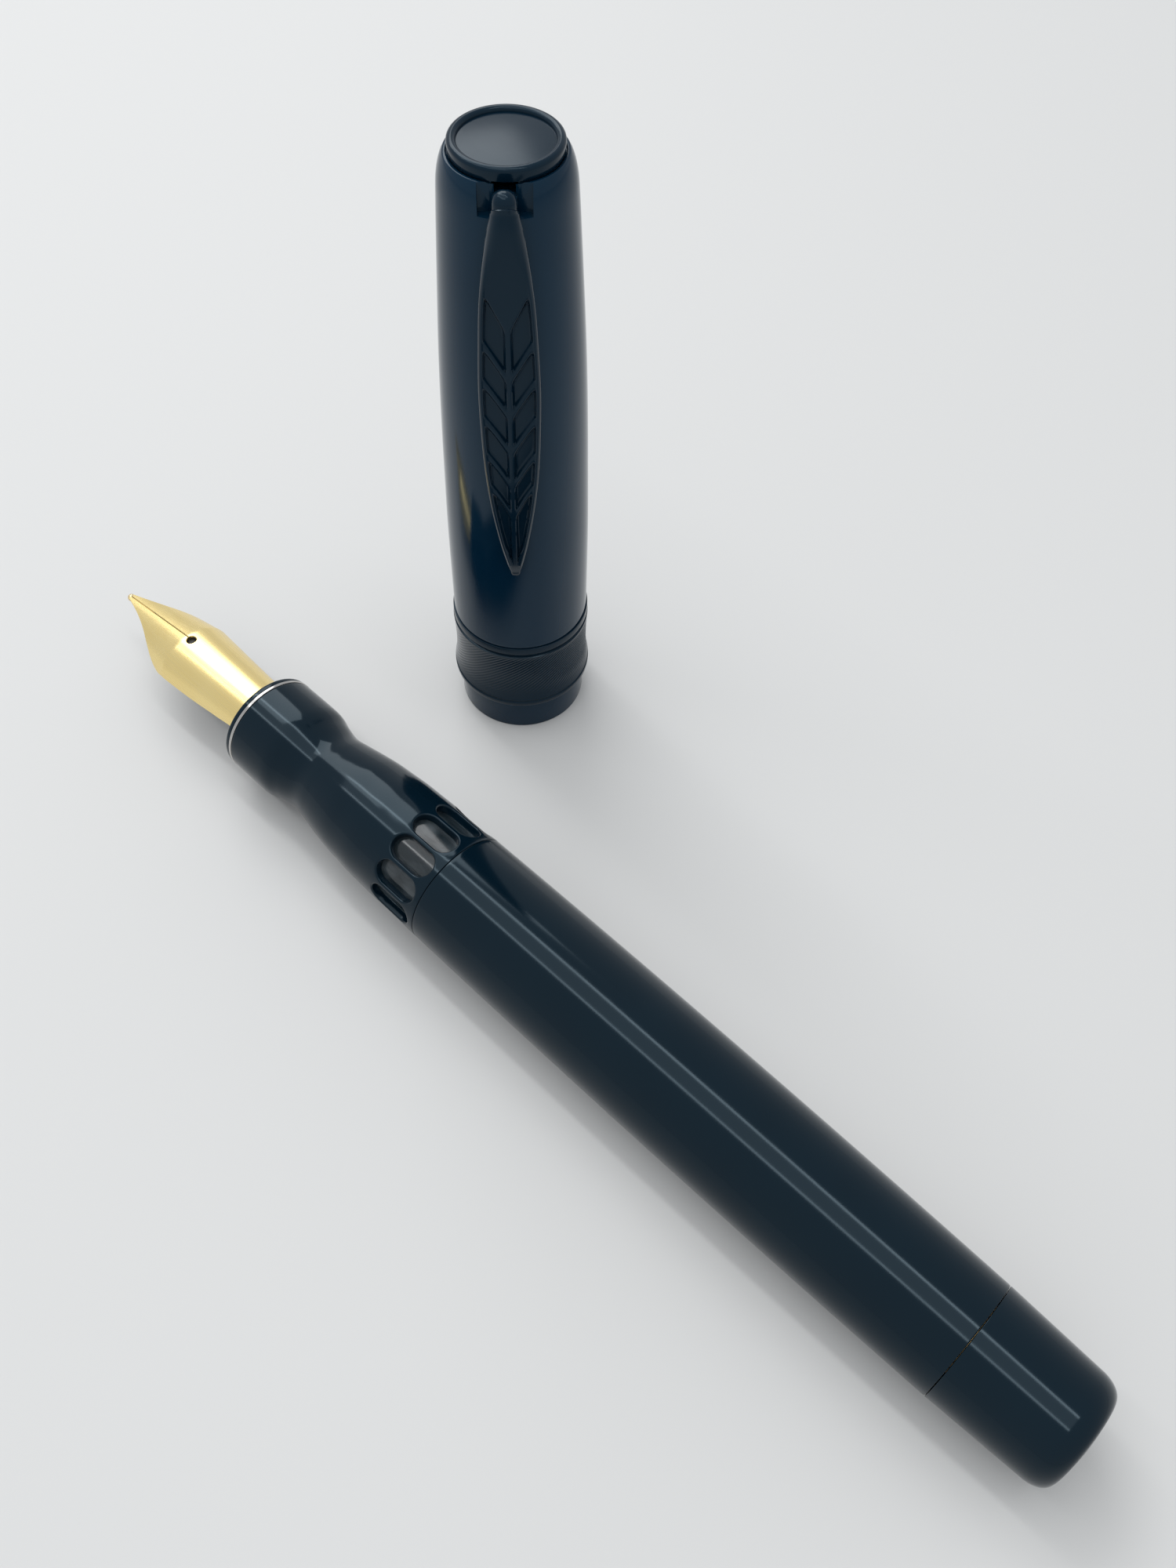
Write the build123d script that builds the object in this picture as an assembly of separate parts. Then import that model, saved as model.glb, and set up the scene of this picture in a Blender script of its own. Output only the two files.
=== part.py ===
from build123d import *
import math
import os

# Plunger-filling fountain pen with its cap off: the pen lies flat, the cap stands on its mouth beside it.
# Millimetres, +Z up. The pen's axis is along X, nib towards -X. The origin is the middle of the footprint.
# A length s is measured along the pen from the tip of the nib, and a height h from the mouth of the cap.

# ---- fits ----
press_gap = 0.02          # radial play between pieces that are glued, pressed or screwed together
run_gap = 0.05            # radial play between pieces that turn or slide on each other
seam_gap = 0.06           # open line where two outside pieces meet
cap_gap = 0.12            # radial play between the barrel and the mouth of the cap
arch_ease = 0.002         # keeps a half round arch just short of a half circle
bed_gap = 0.03            # air between the nib and the feed under it
pocket_gap = 0.05         # length left free in front of a ring in its groove
thread_depth = 0.22
thread_pitch = 0.8

# ---- barrel ----
barrel_r = 6.33           # fattest place on the barrel
barrel_wall = 1.58
barrel_taper = 0.53       # how much smaller the barrel is where it meets the knob
barrel_length = 61.9
barrel_belly = 16.7       # from the front end of the barrel to its fattest place
socket_depth = 8.7        # length of the clear tube that screws into the barrel

# ---- nib and feed ----
nib_length = 25.1         # what stands out of the section
nib_r = 3.6
nib_sheet = 0.34
nib_shoulder = 11.8       # from the tip to the widest place
nib_half_width = 4.4
nib_tip_rise = 1.0        # height of the tip above the pen's axis
nib_edge_rise = 0.1       # height of the nib's lower edges above the pen's axis
nib_shoulder_rise = 3.3
breather_r = 0.58
breather_setback = 12.6
slit_width = 0.07
nib_tip_half = 2.4        # half width of the arch that the tip is cut from
nib_tip_depth = 0.9       # depth of that arch
nib_trim = 0.12           # what the outline cuts off the blank at the shoulders
nib_under = 0.2           # how far the blank reaches under the pen's axis at the shoulders
nose_half = 0.34          # half width of the nib's cut-off nose
nose_setback = 0.3
tipping_r = 0.45
tipping_drop = 0.25       # from the top of the nib's tip down to the middle of the pellet
feed_setback = 4.6        # from the tip of the nib to the nose of the feed
feed_nose_r = 0.75
feed_channel = 0.5        # width of the ink channel on top
fin_lead = 0.6            # how far the first fin is in front of the nib's shoulders
fin_pitch = 1.05
fin_slot = 0.42
fin_count = 12

# ---- section ----
section_length = 29.2
front_ring_width = 0.6
trim_ring_width = 0.4
trim_stand = 0.05         # how far the trim ring stands out of the lip
spigot_length = 1.2       # how far the front ring reaches into the section
ring_edge = 0.25          # chamfer on the front ring
collar_wall = 0.42
collar_turns = 6          # turns of thread on the nib's collar
neck_wall = 0.8
lip_length = 4.9
neck_setback = 8.9        # from the front of the section to its narrowest place
skirt_length = 10.9       # straight rear of the section, over the clear tube
skirt_taper = 0.1         # how much the skirt widens towards the seam
seat_step = 0.3           # how much smaller the shut-off seat is than the clear tube's bore
seat_mouth_r = 1.6        # cone in the seat that the plunger's nose closes
seat_throat_r = 0.9
seat_bore_r = 0.7
magnet_width = 0.9
magnet_length = 2.2
magnet_cover = 0.45
seat_length = 2.1
o_ring_r = 0.27

# ---- ink windows ----
window_count = 12
window_length = 5.3
window_web = 0.52
window_setback = 0.75     # from the rear end of a window to the seam
window_turn = 6.0         # degrees that a window is turned from the top
window_flare = 0.3        # how much narrower a window is inside than at its rim
tube_wall = 0.38
tube_turns = 5            # turns of thread that hold the clear tube in the barrel
vacuum_gap = 0.25         # how much wider the clear tube is than the barrel's bore

# ---- plunger ----
rod_r = 1.25
rod_spigot_r = 0.85
nose_length = 1.1
nose_middle_r = 2.4
nose_r = 3.2
spigot_in_nose = 0.6      # how deep the rod's spigot is screwed into the nose
head_length = 2.1
head_lip = 0.35           # width and chamfer of the lips of the seal
head_waist = 0.45         # depth of the waist between the lips
washer_drop = 0.6         # how much smaller the washer is than the seal
washer_thickness = 0.6
packing_width = 1.1
spacer_length = 1.14
gland_length = 10.2
gland_pocket = 6.5        # depth of the pocket for the packing
gland_step = 0.22         # how much wider the gland is than the barrel's bore
boss_length = 5.8
rod_collar_length = 1.3
rod_collar_r = 2.6

# ---- knob ----
knob_length = 11.65
knob_drop = 0.38
knob_wall = 0.85
knob_round = 2.6
knob_dome = 0.4           # rise of the end
insert_wall = 0.5
insert_floor = 1.2
insert_setback = 0.3      # from the knob's edge to its threaded sleeve, and on to the first turn

# ---- cap ----
cap_overlap = 2.2         # how far the cap reaches over the barrel when it is on
sleeve_wall = 0.26
lip_height = 4.4
lip_wall = 0.47
lip_ease = 0.07           # size of the broken edges at the mouth
sleeve_reach = 4.0        # how far the sleeve screws into the shell
band_height = 9.4
band_rim = 0.34           # how far the band's lower rim stands out of its drum
band_wall = 0.5
shell_wall = 0.46
shell_straight = 11.0     # height over which the shell doesn't narrow
shell_narrowing = 1.33
liner_wall = 0.48
liner_floor = 0.8
lip_air = 0.2             # air round the front of the section when the cap is on
nib_air = 0.35            # air beside the nib when the cap is on
flange_height = 0.7       # height of the liner's sealing flange
tip_room = 1.5            # air in front of the nib's tip when the cap is on
housing_height = 6.1
housing_step = 0.6        # shelf on which the housing rests, inside the shell
shoulder_drop = 2.4
finial_r = 4.75
finial_height = 1.1
finial_ledge = 0.5        # width of the shell's top edge outside the finial
finial_rim = 0.75
finial_dish = 0.3
stud_r = 0.8
stud_length = 3.6         # how deep the finial's stud reaches into the housing
stud_cover = 0.25         # material of the finial over its stud
housing_web = 0.3         # wall between the stud and the clip's slot
tongue_room = 0.75        # free depth under the clip's tongue

# ---- clip ----
clip_heading = -46.0      # degrees from +X towards which the clip faces
clip_length = 40.4
clip_half_width = 2.72
clip_neck = 1.0           # half width at the top
clip_thickness = 1.15
clip_air = 0.45           # gap between the clip and the shell
clip_touch = 0.04         # gap at the clip's resting point
clip_pocket = 0.45
pin_r = 0.45
pin_reach = 3.3           # from the cap's axis to the pin
pin_drop = 1.5
tongue_half = 0.6
spring_wire = 0.09
spring_r = 0.42
spring_turns = 5
spring_length = 2.6
hump_rise = 1.75          # from the pin to the top of the clip
hump_depth = 1.75         # from the clip's inside to its outside, over the shoulder
clip_reach = 0.49         # how far the clip's hump reaches in over the shell's shoulder
leaf_edge = 0.42          # width of the raised edge of the leaf
leaf_spine = 0.3          # half width of the spine
leaf_rib = 0.022          # width of a rib, as a share of the leaf's length
leaf_slant = 0.085        # slant of a rib, as a share of the leaf's length
# the leaf's half width at shares of its length, and the shares at which its pockets start
leaf_form = ((0.0, 0.5), (0.09, 0.75), (0.17, 0.86), (0.25, 0.92), (0.4, 1.0), (0.5, 0.98), (0.63, 0.91),
             (0.74, 0.75), (0.86, 0.5), (0.95, 0.27), (1.0, 0.2))
leaf_pockets = (0.14, 0.275, 0.375, 0.48, 0.585, 0.685)
notch_gap = 1.2

# ---- where the cap stands, from the pen ----
cap_along = 36.8          # from the nib's tip to the cap's axis, along the pen
cap_beside = 27.2         # from the pen's axis to the cap's axis

# ---- derived: places along the pen ----
s_ring = nib_length
s_trim = s_ring + front_ring_width
s_section = s_trim + trim_ring_width
s_seam = s_section + section_length
s_tube = s_seam - skirt_length
s_seat = s_tube - seat_length
s_collar_end = s_seat - 2 * o_ring_r
s_heel = s_collar_end - 3.0
s_barrel = s_seam + seam_gap
s_barrel_end = s_barrel + barrel_length
s_socket_end = s_barrel + socket_depth
s_tube_end = s_socket_end - 2 * o_ring_r
s_knob = s_barrel_end + seam_gap
pen_length = s_knob + knob_length
s_belly = s_barrel + barrel_belly
s_gland = s_barrel_end - gland_length
s_packing = s_gland + gland_pocket
s_boss_end = s_barrel_end + boss_length
s_insert_floor = s_boss_end + 3 * run_gap
s_insert_end = s_insert_floor + insert_floor
s_rod_collar = s_insert_end + run_gap
s_knob_floor = s_rod_collar + rod_collar_length + run_gap
s_nose = s_tube + 2 * run_gap
s_head = s_nose + nose_length
s_washer = s_head + head_length
s_rod = s_washer + washer_thickness

# ---- derived: radii of the pen ----
chamber_r = barrel_r - barrel_wall
barrel_end_r = barrel_r - barrel_taper
barrel_seam_r = barrel_r - barrel_taper * (barrel_belly / (barrel_length - barrel_belly)) ** 2
feed_r = nib_r - nib_sheet
collar_bore_r = nib_r + press_gap
collar_r = collar_bore_r + collar_wall
section_bore_r = collar_r + press_gap
neck_r = section_bore_r + neck_wall
magnet_in_r = section_bore_r + magnet_cover / 2
magnet_out_r = magnet_in_r + magnet_width
section_lip_r = magnet_out_r + magnet_cover + press_gap
tube_in_r = chamber_r + vacuum_gap
tube_r = tube_in_r + tube_wall
skirt_bore_r = tube_r + press_gap
head_r = chamber_r - run_gap
gland_r = chamber_r + gland_step
knob_bore_r = barrel_end_r - knob_drop - knob_wall
insert_r = knob_bore_r - press_gap
insert_bore_r = insert_r - insert_wall
boss_r = insert_bore_r - run_gap
packing_r = rod_r + packing_width
packing_ring_r = (packing_r - rod_r - run_gap / 2) / 2

# ---- derived: heights and radii of the cap ----
h_seal = s_seam + cap_overlap - s_ring
h_band = lip_height + seam_gap
h_shell = h_band + band_height + seam_gap
h_sleeve_end = h_shell + sleeve_reach
h_liner_top = s_seam + cap_overlap + tip_room
h_housing = h_liner_top + liner_floor + 2 * run_gap
h_shell_top = h_housing + housing_height
cap_length = h_shell_top + finial_height
cap_bore_r = barrel_r + cap_gap
sleeve_r = cap_bore_r + sleeve_wall
lip_r = cap_bore_r + lip_wall
shell_r = sleeve_r + press_gap + shell_wall
band_r = sleeve_r + press_gap + band_wall
throat_r = section_lip_r + lip_air
liner_bore_r = nib_half_width + nib_air
liner_r = liner_bore_r + liner_wall
liner_flange_r = throat_r - press_gap - 2 * run_gap
magnet_h = h_seal + flange_height
housing_r = liner_r - housing_step
h_shoulder = h_shell_top - shoulder_drop
shoulder_r = shell_r - shell_narrowing
h_pin = h_shell_top - pin_drop
h_stud_top = cap_length - finial_dish - stud_cover
h_spring = h_pin - tongue_half - spring_length
h_tip = h_pin + hump_rise - clip_length
h_leaf = h_pin - 1.2
leaf = h_leaf - h_tip
spring_place = stud_r + housing_web + spring_r + spring_wire + 0.22

# ---- derived: where things stand ----
footprint_y = barrel_r + cap_beside + band_r + band_rim
pen_y = barrel_r - footprint_y / 2
cap_x = cap_along - pen_length / 2
cap_y = pen_y + cap_beside
pen_place = Pos(-pen_length / 2, pen_y, barrel_r)
cap_place = Pos(cap_x, cap_y, 0)
clip_place = cap_place * Rot(0, 0, clip_heading)


def turned_x(*edges):
    """Solid of revolution about the pen's axis, from the edges of a closed outline in (s, r)."""
    return revolve(make_face(list(edges)), Axis.X, 360)


def lathe(*points):
    """Solid of revolution about the pen's axis, from the corners of an outline in (s, r)."""
    return revolve(make_face(Polyline(*points, close=True)), Axis.X, 360)


def tube(s0, s1, inner, outer):
    return lathe((s0, inner), (s1, inner), (s1, outer), (s0, outer))


def rod(s0, s1, radius):
    return lathe((s0, 0), (s1, 0), (s1, radius), (s0, radius))


def pot(*points):
    """Solid of revolution about the cap's axis, from the corners of an outline in (r, h)."""
    return revolve(Plane.XZ * make_face(Polyline(*points, close=True)), Axis.Z, 360)


def pot_ring(h0, h1, inner, outer):
    return pot((inner, h0), (outer, h0), (outer, h1), (inner, h1))


def torus_x(s, ring_r):
    """O-ring on the pen's axis."""
    return revolve(Pos(s, ring_r) * Circle(o_ring_r), Axis.X, 360)


def thread_x(s0, s1, root, crest):
    """Row of ridges round the pen's axis that stands for a screw thread, with its core left out."""
    count = int((s1 - s0) / thread_pitch)
    ridges = []
    for i in range(count):
        s = s0 + (i + 0.5) * thread_pitch
        half = thread_pitch / 2
        ridges.append(lathe((s - half, root - 0.05), (s - half, root), (s, crest), (s + half, root),
                            (s + half, root - 0.05)))
    return ridges


# ---- nib, feed and their collar ----
def arch(s, top, half_width, drop, sheet):
    """Crescent across the nib at s: an arched strip of sheet with its open side down."""
    low = top - drop
    inner = half_width - sheet
    outer_arc = ThreePointArc((-half_width, low), (0, top), (half_width, low))
    inner_arc = ThreePointArc((-inner, low), (0, top - sheet), (inner, low))
    left = Line((-half_width, low), (-inner, low))
    right = Line((half_width, low), (inner, low))
    return Plane.YZ.offset(s) * make_face([outer_arc, right, inner_arc, left])


def nib_blank(sheet):
    """The arched strip that the nib is cut from, from its tip to its heel."""
    shoulder_half = nib_half_width + nib_trim
    shoulder_depth = nib_shoulder_rise + nib_under
    body_half = nib_r - arch_ease
    body_depth = nib_r - nib_edge_rise
    tip = arch(0, nib_tip_rise, nib_tip_half, nib_tip_depth, sheet)
    shoulder = arch(nib_shoulder, nib_shoulder_rise, shoulder_half, shoulder_depth, sheet)
    mouth = arch(s_ring, nib_r, body_half, body_depth, sheet)
    heel = arch(s_heel, nib_r, body_half, body_depth, sheet)
    blank = loft([tip, shoulder], ruled=True)
    blank += loft([shoulder, mouth], ruled=True)
    blank += loft([mouth, heel], ruled=True)
    return blank


def nib_outline():
    """Plan of the nib: concave tines, round shoulders and a body that narrows to the heel."""
    heel_half = nib_r * 0.97
    side = Spline(
        (nose_setback, nose_half),
        (nib_shoulder * 0.3, nib_half_width * 0.3),
        (nib_shoulder * 0.68, nib_half_width * 0.76),
        (nib_shoulder, nib_half_width),
        (nib_shoulder + 5, nib_half_width * 0.935),
        (s_ring, heel_half),
        tangents=((1, 0.12), (1, -0.02)),
    )
    back = Line((s_ring, heel_half), (s_heel, heel_half))
    end = Line((s_heel, heel_half), (s_heel, -heel_half))
    nose = Line((nose_setback, nose_half), (nose_setback, -nose_half))
    other_side = mirror(side, Plane.XZ)
    other_back = mirror(back, Plane.XZ)
    return make_face([side, back, end, other_back, other_side, nose])


def slit():
    return Pos(breather_setback / 2 - 1, 0, 0) * Box(breather_setback + 2, slit_width, 12)


def nib():
    plan = extrude(Pos(0, 0, -2) * nib_outline(), 8)
    breather = Pos(breather_setback, 0, nib_r) * Cylinder(breather_r, 6)
    return (nib_blank(nib_sheet) & plan) - slit() - breather


def nib_tipping(nib_solid):
    """Hard pellet welded under the tip of each tine."""
    pellet = Pos(tipping_r, 0, nib_tip_rise - tipping_drop) * Sphere(tipping_r)
    return pellet - nib_solid - slit()


def feed_circle(s, radius, top):
    return Plane.YZ.offset(s) * Pos(0, top - radius) * Circle(radius)


def feed():
    """Ink feed under the nib: a finned body outside the section and a round stem inside the collar."""
    s_fins = nib_shoulder - fin_lead
    under = nib_sheet + bed_gap
    tip_to_shoulder = (nib_shoulder_rise - nib_tip_rise) / nib_shoulder
    nose_top = nib_tip_rise + tip_to_shoulder * feed_setback - under
    shoulder_top = nib_shoulder_rise - under - 2 * bed_gap
    nose = feed_circle(feed_setback, feed_nose_r, nose_top - 4 * bed_gap)
    belly = feed_circle(nib_shoulder, shoulder_top * 0.93, shoulder_top)
    mouth = feed_circle(s_ring, feed_r - 2 * bed_gap, feed_r - 2 * bed_gap)
    body = loft([nose, belly], ruled=True) + loft([belly, mouth], ruled=True)
    stem = rod(s_ring, s_collar_end, nib_r)
    nib_bed = tube(s_ring - 1, s_heel + 0.2, feed_r - press_gap, nib_r + 1)
    h_below = nib_edge_rise - pocket_gap - pen_length / 2
    below = Pos(pen_length / 2, 0, h_below) * Box(pen_length, 4 * nib_r, pen_length)
    stem = stem - (nib_bed - below)
    core_r = feed_r * 0.52
    comb = []
    for i in range(fin_count):
        slot = Pos(s_fins + i * fin_pitch, 0, -nib_r) * Box(fin_slot, 4 * nib_r, 2 * nib_r - fin_slot)
        comb.append(slot - rod(0, s_ring, core_r))
    channel = Pos((s_ring + s_heel) / 2, 0, feed_r) * Box(s_heel - feed_setback, feed_channel, 2 * nib_sheet)
    return (body + stem) - comb - channel


def nib_collar():
    """Threaded sleeve that holds nib and feed together in the section."""
    s0 = s_section + spigot_length + pocket_gap
    s_thread = s_collar_end - 1.5 * collar_turns * thread_pitch
    body = tube(s0, s_collar_end, collar_bore_r, collar_r)
    groove_root = collar_r - thread_depth * 0.8
    grooves = []
    for i in range(collar_turns):
        s = s_thread + i * thread_pitch
        grooves.append(tube(s, s + thread_pitch / 2, groove_root, collar_r + 0.1))
    return body - grooves


# ---- section ----
def section_front_ring():
    """Black ring round the nib, with a spigot that plugs the section's bore."""
    inner = nib_r + cap_gap
    spigot_r = section_bore_r - press_gap
    s_spigot = s_section + spigot_length
    return lathe((s_ring, inner), (s_ring, section_lip_r - ring_edge), (s_ring + ring_edge, section_lip_r),
                 (s_trim, section_lip_r), (s_trim, spigot_r), (s_spigot, spigot_r), (s_spigot, inner))


def section_trim_ring():
    return tube(s_trim, s_section, section_bore_r, section_lip_r + trim_stand)


def lock_magnets():
    s0 = s_section + press_gap
    return tube(s0, s_section + magnet_length, magnet_in_r + press_gap, magnet_out_r - press_gap)


def window_cut():
    """One oblong ink window: a straight slot through the wall with a flared rim."""
    pitch = 2 * math.pi * barrel_seam_r / window_count
    width = pitch - window_web
    s_mid = s_seam - window_setback - window_length / 2
    wall = barrel_seam_r - skirt_bore_r
    straight = window_length - width
    slot = Rectangle(straight, width) + [Pos(end * straight / 2, 0) * Circle(width / 2) for end in (-1, 1)]
    narrow_slot = offset(slot, -window_flare)
    past = 2 * window_flare
    start = Pos(s_mid, 0, skirt_bore_r - past)
    through = extrude(start * slot, past + wall + 1)
    narrow = extrude(start * narrow_slot, past + wall + 1)
    flare_start = Pos(s_mid, 0, skirt_bore_r + wall * 0.45)
    rim = extrude(flare_start * narrow_slot, wall * 0.55 + window_flare, taper=-38)
    return narrow + (rim & through)


def section():
    """Grip with a collar at its front, a waist for the fingers and a windowed skirt."""
    s_lip_end = s_section + lip_length
    s_neck = s_section + neck_setback
    s_skirt = s_tube + skirt_length / 3
    skirt_r = barrel_seam_r - skirt_taper
    s_flare = (s_neck + s_skirt) / 2 - 0.4
    flare_r = neck_r + (skirt_r - neck_r) * 0.66
    seat_r = tube_in_r - seat_step
    front_r = section_lip_r - trim_stand / 2
    waist = Spline((s_lip_end, front_r), (s_neck, neck_r), (s_flare, flare_r), (s_skirt, skirt_r),
                   tangents=((1, -0.28), (1, 0.035)))
    outline = [
        Line((s_section, section_bore_r), (s_section, front_r)),
        Line((s_section, front_r), (s_lip_end, front_r)),
        waist,
        Line((s_skirt, skirt_r), (s_seam, barrel_seam_r)),
        Line((s_seam, barrel_seam_r), (s_seam, skirt_bore_r)),
        Line((s_seam, skirt_bore_r), (s_tube, skirt_bore_r)),
        Line((s_tube, skirt_bore_r), (s_tube, seat_r)),
        Line((s_tube, seat_r), (s_seat, seat_r)),
        Line((s_seat, seat_r), (s_seat, section_bore_r)),
        Line((s_seat, section_bore_r), (s_section, section_bore_r)),
    ]
    body = turned_x(*outline)
    body -= tube(s_section - 1, s_section + magnet_length + pocket_gap, magnet_in_r, magnet_out_r)
    cut = window_cut()
    for i in range(window_count):
        body -= Rot(-window_turn + i * 360 / window_count, 0, 0) * cut
    return body


def shutoff_seat():
    """Soft plug between the feed and the ink, closed by the nose of the plunger."""
    outer = tube_in_r - seat_step - press_gap
    s_throat = s_tube - (seat_mouth_r - seat_throat_r)
    return lathe((s_seat, seat_bore_r), (s_seat, outer), (s_tube, outer), (s_tube, seat_mouth_r),
                 (s_throat, seat_throat_r), (s_throat, seat_bore_r))


def collar_o_ring():
    return torus_x(s_seat - o_ring_r, section_bore_r - o_ring_r)


def ink_window_tube():
    """Clear tube behind the windows that joins the section to the barrel."""
    body = tube(s_tube + press_gap, s_tube_end, tube_in_r, tube_r)
    s_narrow = s_barrel + 3 * thread_pitch
    ramp = 4 * vacuum_gap
    inlet_r = tube_in_r + press_gap
    body += lathe((s_narrow, inlet_r), (s_tube_end, inlet_r), (s_tube_end, chamber_r),
                  (s_narrow + ramp, chamber_r))
    groove_root = tube_r - thread_depth * 0.8
    grooves = []
    for i in range(tube_turns):
        s = s_barrel + (2 + 1.2 * i) * thread_pitch
        grooves.append(tube(s, s + thread_pitch * 0.6, groove_root, tube_r + 0.1))
    return body - grooves


def barrel_o_ring():
    return torus_x(s_socket_end - o_ring_r, skirt_bore_r - o_ring_r - press_gap)


# ---- barrel and its rear gland ----
def barrel():
    outline = [
        ThreePointArc((s_barrel, barrel_seam_r), (s_belly, barrel_r), (s_barrel_end, barrel_end_r)),
        Line((s_barrel_end, barrel_end_r), (s_barrel_end, gland_r + press_gap)),
        Line((s_barrel_end, gland_r + press_gap), (s_gland, gland_r + press_gap)),
        Line((s_gland, gland_r + press_gap), (s_gland, chamber_r)),
        Line((s_gland, chamber_r), (s_socket_end, chamber_r)),
        Line((s_socket_end, chamber_r), (s_socket_end, skirt_bore_r)),
        Line((s_socket_end, skirt_bore_r), (s_barrel, skirt_bore_r)),
        Line((s_barrel, skirt_bore_r), (s_barrel, barrel_seam_r)),
    ]
    return turned_x(*outline)


def rear_gland():
    """Plug that closes the barrel, with a threaded boss for the knob and a pocket for the rod's packing."""
    bore = rod_r + run_gap
    s0 = s_gland + press_gap
    root_r = boss_r - thread_depth
    body = lathe((s0, packing_r), (s0, gland_r), (s_barrel_end, gland_r), (s_barrel_end, root_r),
                 (s_boss_end, root_r), (s_boss_end, bore), (s_packing, bore), (s_packing, packing_r))
    for ridge in thread_x(s_barrel_end + 0.5, s_boss_end - 0.3, boss_r - thread_depth, boss_r):
        body += ridge
    return body


def gland_packing():
    """Two O-rings on the rod."""
    ring_r = rod_r + run_gap / 2 + packing_ring_r
    rings = []
    for i in range(2):
        s = s_packing - pocket_gap - packing_ring_r - i * (2 * packing_ring_r + spacer_length + 2 * bed_gap)
        rings.append(revolve(Pos(s, ring_r) * Circle(packing_ring_r), Axis.X, 360))
    return rings


def packing_spacer():
    """Lantern ring between the two O-rings."""
    s1 = s_packing - pocket_gap - 2 * packing_ring_r - bed_gap
    return tube(s1 - spacer_length, s1, rod_r + run_gap, packing_r - press_gap)


def gland_nut():
    """Ring screwed into the gland that holds the packing."""
    s1 = s_packing - pocket_gap - 4 * packing_ring_r - spacer_length - 3 * bed_gap
    return tube(s_gland + press_gap, s1, rod_r + run_gap, packing_r - press_gap)


# ---- plunger ----
def plunger_rod():
    body = rod(s_head - spigot_in_nose, s_rod, rod_spigot_r)
    body += rod(s_rod, s_rod_collar, rod_r)
    body += rod(s_rod_collar, s_rod_collar + rod_collar_length, rod_spigot_r)
    return body


def plunger_nose():
    """Cone nut on the front of the rod that closes the shut-off seat."""
    hole = rod_spigot_r + press_gap
    s_hole = s_head - spigot_in_nose - press_gap
    cone = lathe((s_nose, 0), (s_nose, seat_throat_r), (s_hole, nose_middle_r), (s_head, nose_r), (s_head, 0))
    return cone - rod(s_hole, s_head, hole)


def plunger_seal():
    """Soft cup that sweeps the barrel's bore."""
    hole = rod_spigot_r + press_gap
    edge_r = head_r - head_lip / 2
    waist_r = head_r - head_waist
    return lathe((s_head, hole), (s_head, edge_r), (s_head + head_lip, head_r),
                 (s_head + 2 * head_lip, head_r), (s_head + head_length / 2, waist_r),
                 (s_washer - 2 * head_lip, head_r), (s_washer - head_lip, head_r), (s_washer, edge_r),
                 (s_washer, hole))


def seal_washer():
    return tube(s_washer, s_rod, rod_spigot_r + press_gap, head_r - washer_drop)


def rod_collar():
    """Flange screwed on the rear of the rod, trapped inside the knob."""
    return tube(s_rod_collar, s_rod_collar + rod_collar_length, rod_spigot_r + press_gap, rod_collar_r)


# ---- knob ----
def end_knob():
    s_round = pen_length - knob_round
    round_r = barrel_end_r - knob_drop
    dome_r = round_r * 0.72
    s_dome = pen_length - knob_dome
    room_r = rod_collar_r + run_gap
    bend = (s_round + (s_dome - s_round) * 0.74, dome_r + (round_r - dome_r) * 0.7)
    outline = [
        Line((s_knob, knob_bore_r), (s_knob, barrel_end_r)),
        Line((s_knob, barrel_end_r), (s_round, round_r)),
        ThreePointArc((s_round, round_r), bend, (s_dome, dome_r)),
        Spline((s_dome, dome_r), (pen_length - knob_dome / 4, dome_r / 2), (pen_length, 0)),
        Line((pen_length, 0), (s_knob_floor, 0)),
        Line((s_knob_floor, 0), (s_knob_floor, room_r)),
        Line((s_knob_floor, room_r), (s_insert_end, room_r)),
        Line((s_insert_end, room_r), (s_insert_end, knob_bore_r)),
        Line((s_insert_end, knob_bore_r), (s_knob, knob_bore_r)),
    ]
    return turned_x(*outline)


def knob_insert():
    """Threaded sleeve in the knob, with a floor that traps the rod's flange."""
    s0 = s_knob + insert_setback
    hole = rod_r + run_gap
    body = lathe((s0, insert_bore_r), (s0, insert_r), (s_insert_end, insert_r), (s_insert_end, hole),
                 (s_insert_floor, hole), (s_insert_floor, insert_bore_r))
    grooves = []
    for i in range(int((s_insert_floor - s0 - insert_setback) / thread_pitch)):
        s = s0 + insert_setback + i * thread_pitch
        grooves.append(tube(s, s + thread_pitch / 2, insert_bore_r - 0.1, insert_bore_r + thread_depth))
    return body - grooves


# ---- cap ----
def shell_radius(h):
    """Outside radius of the cap's shell at height h, up to its shoulder."""
    start = h_shell + shell_straight
    if h <= start:
        return shell_r
    return shell_r - shell_narrowing * ((h - start) / (h_shoulder - start)) ** 2


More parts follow.
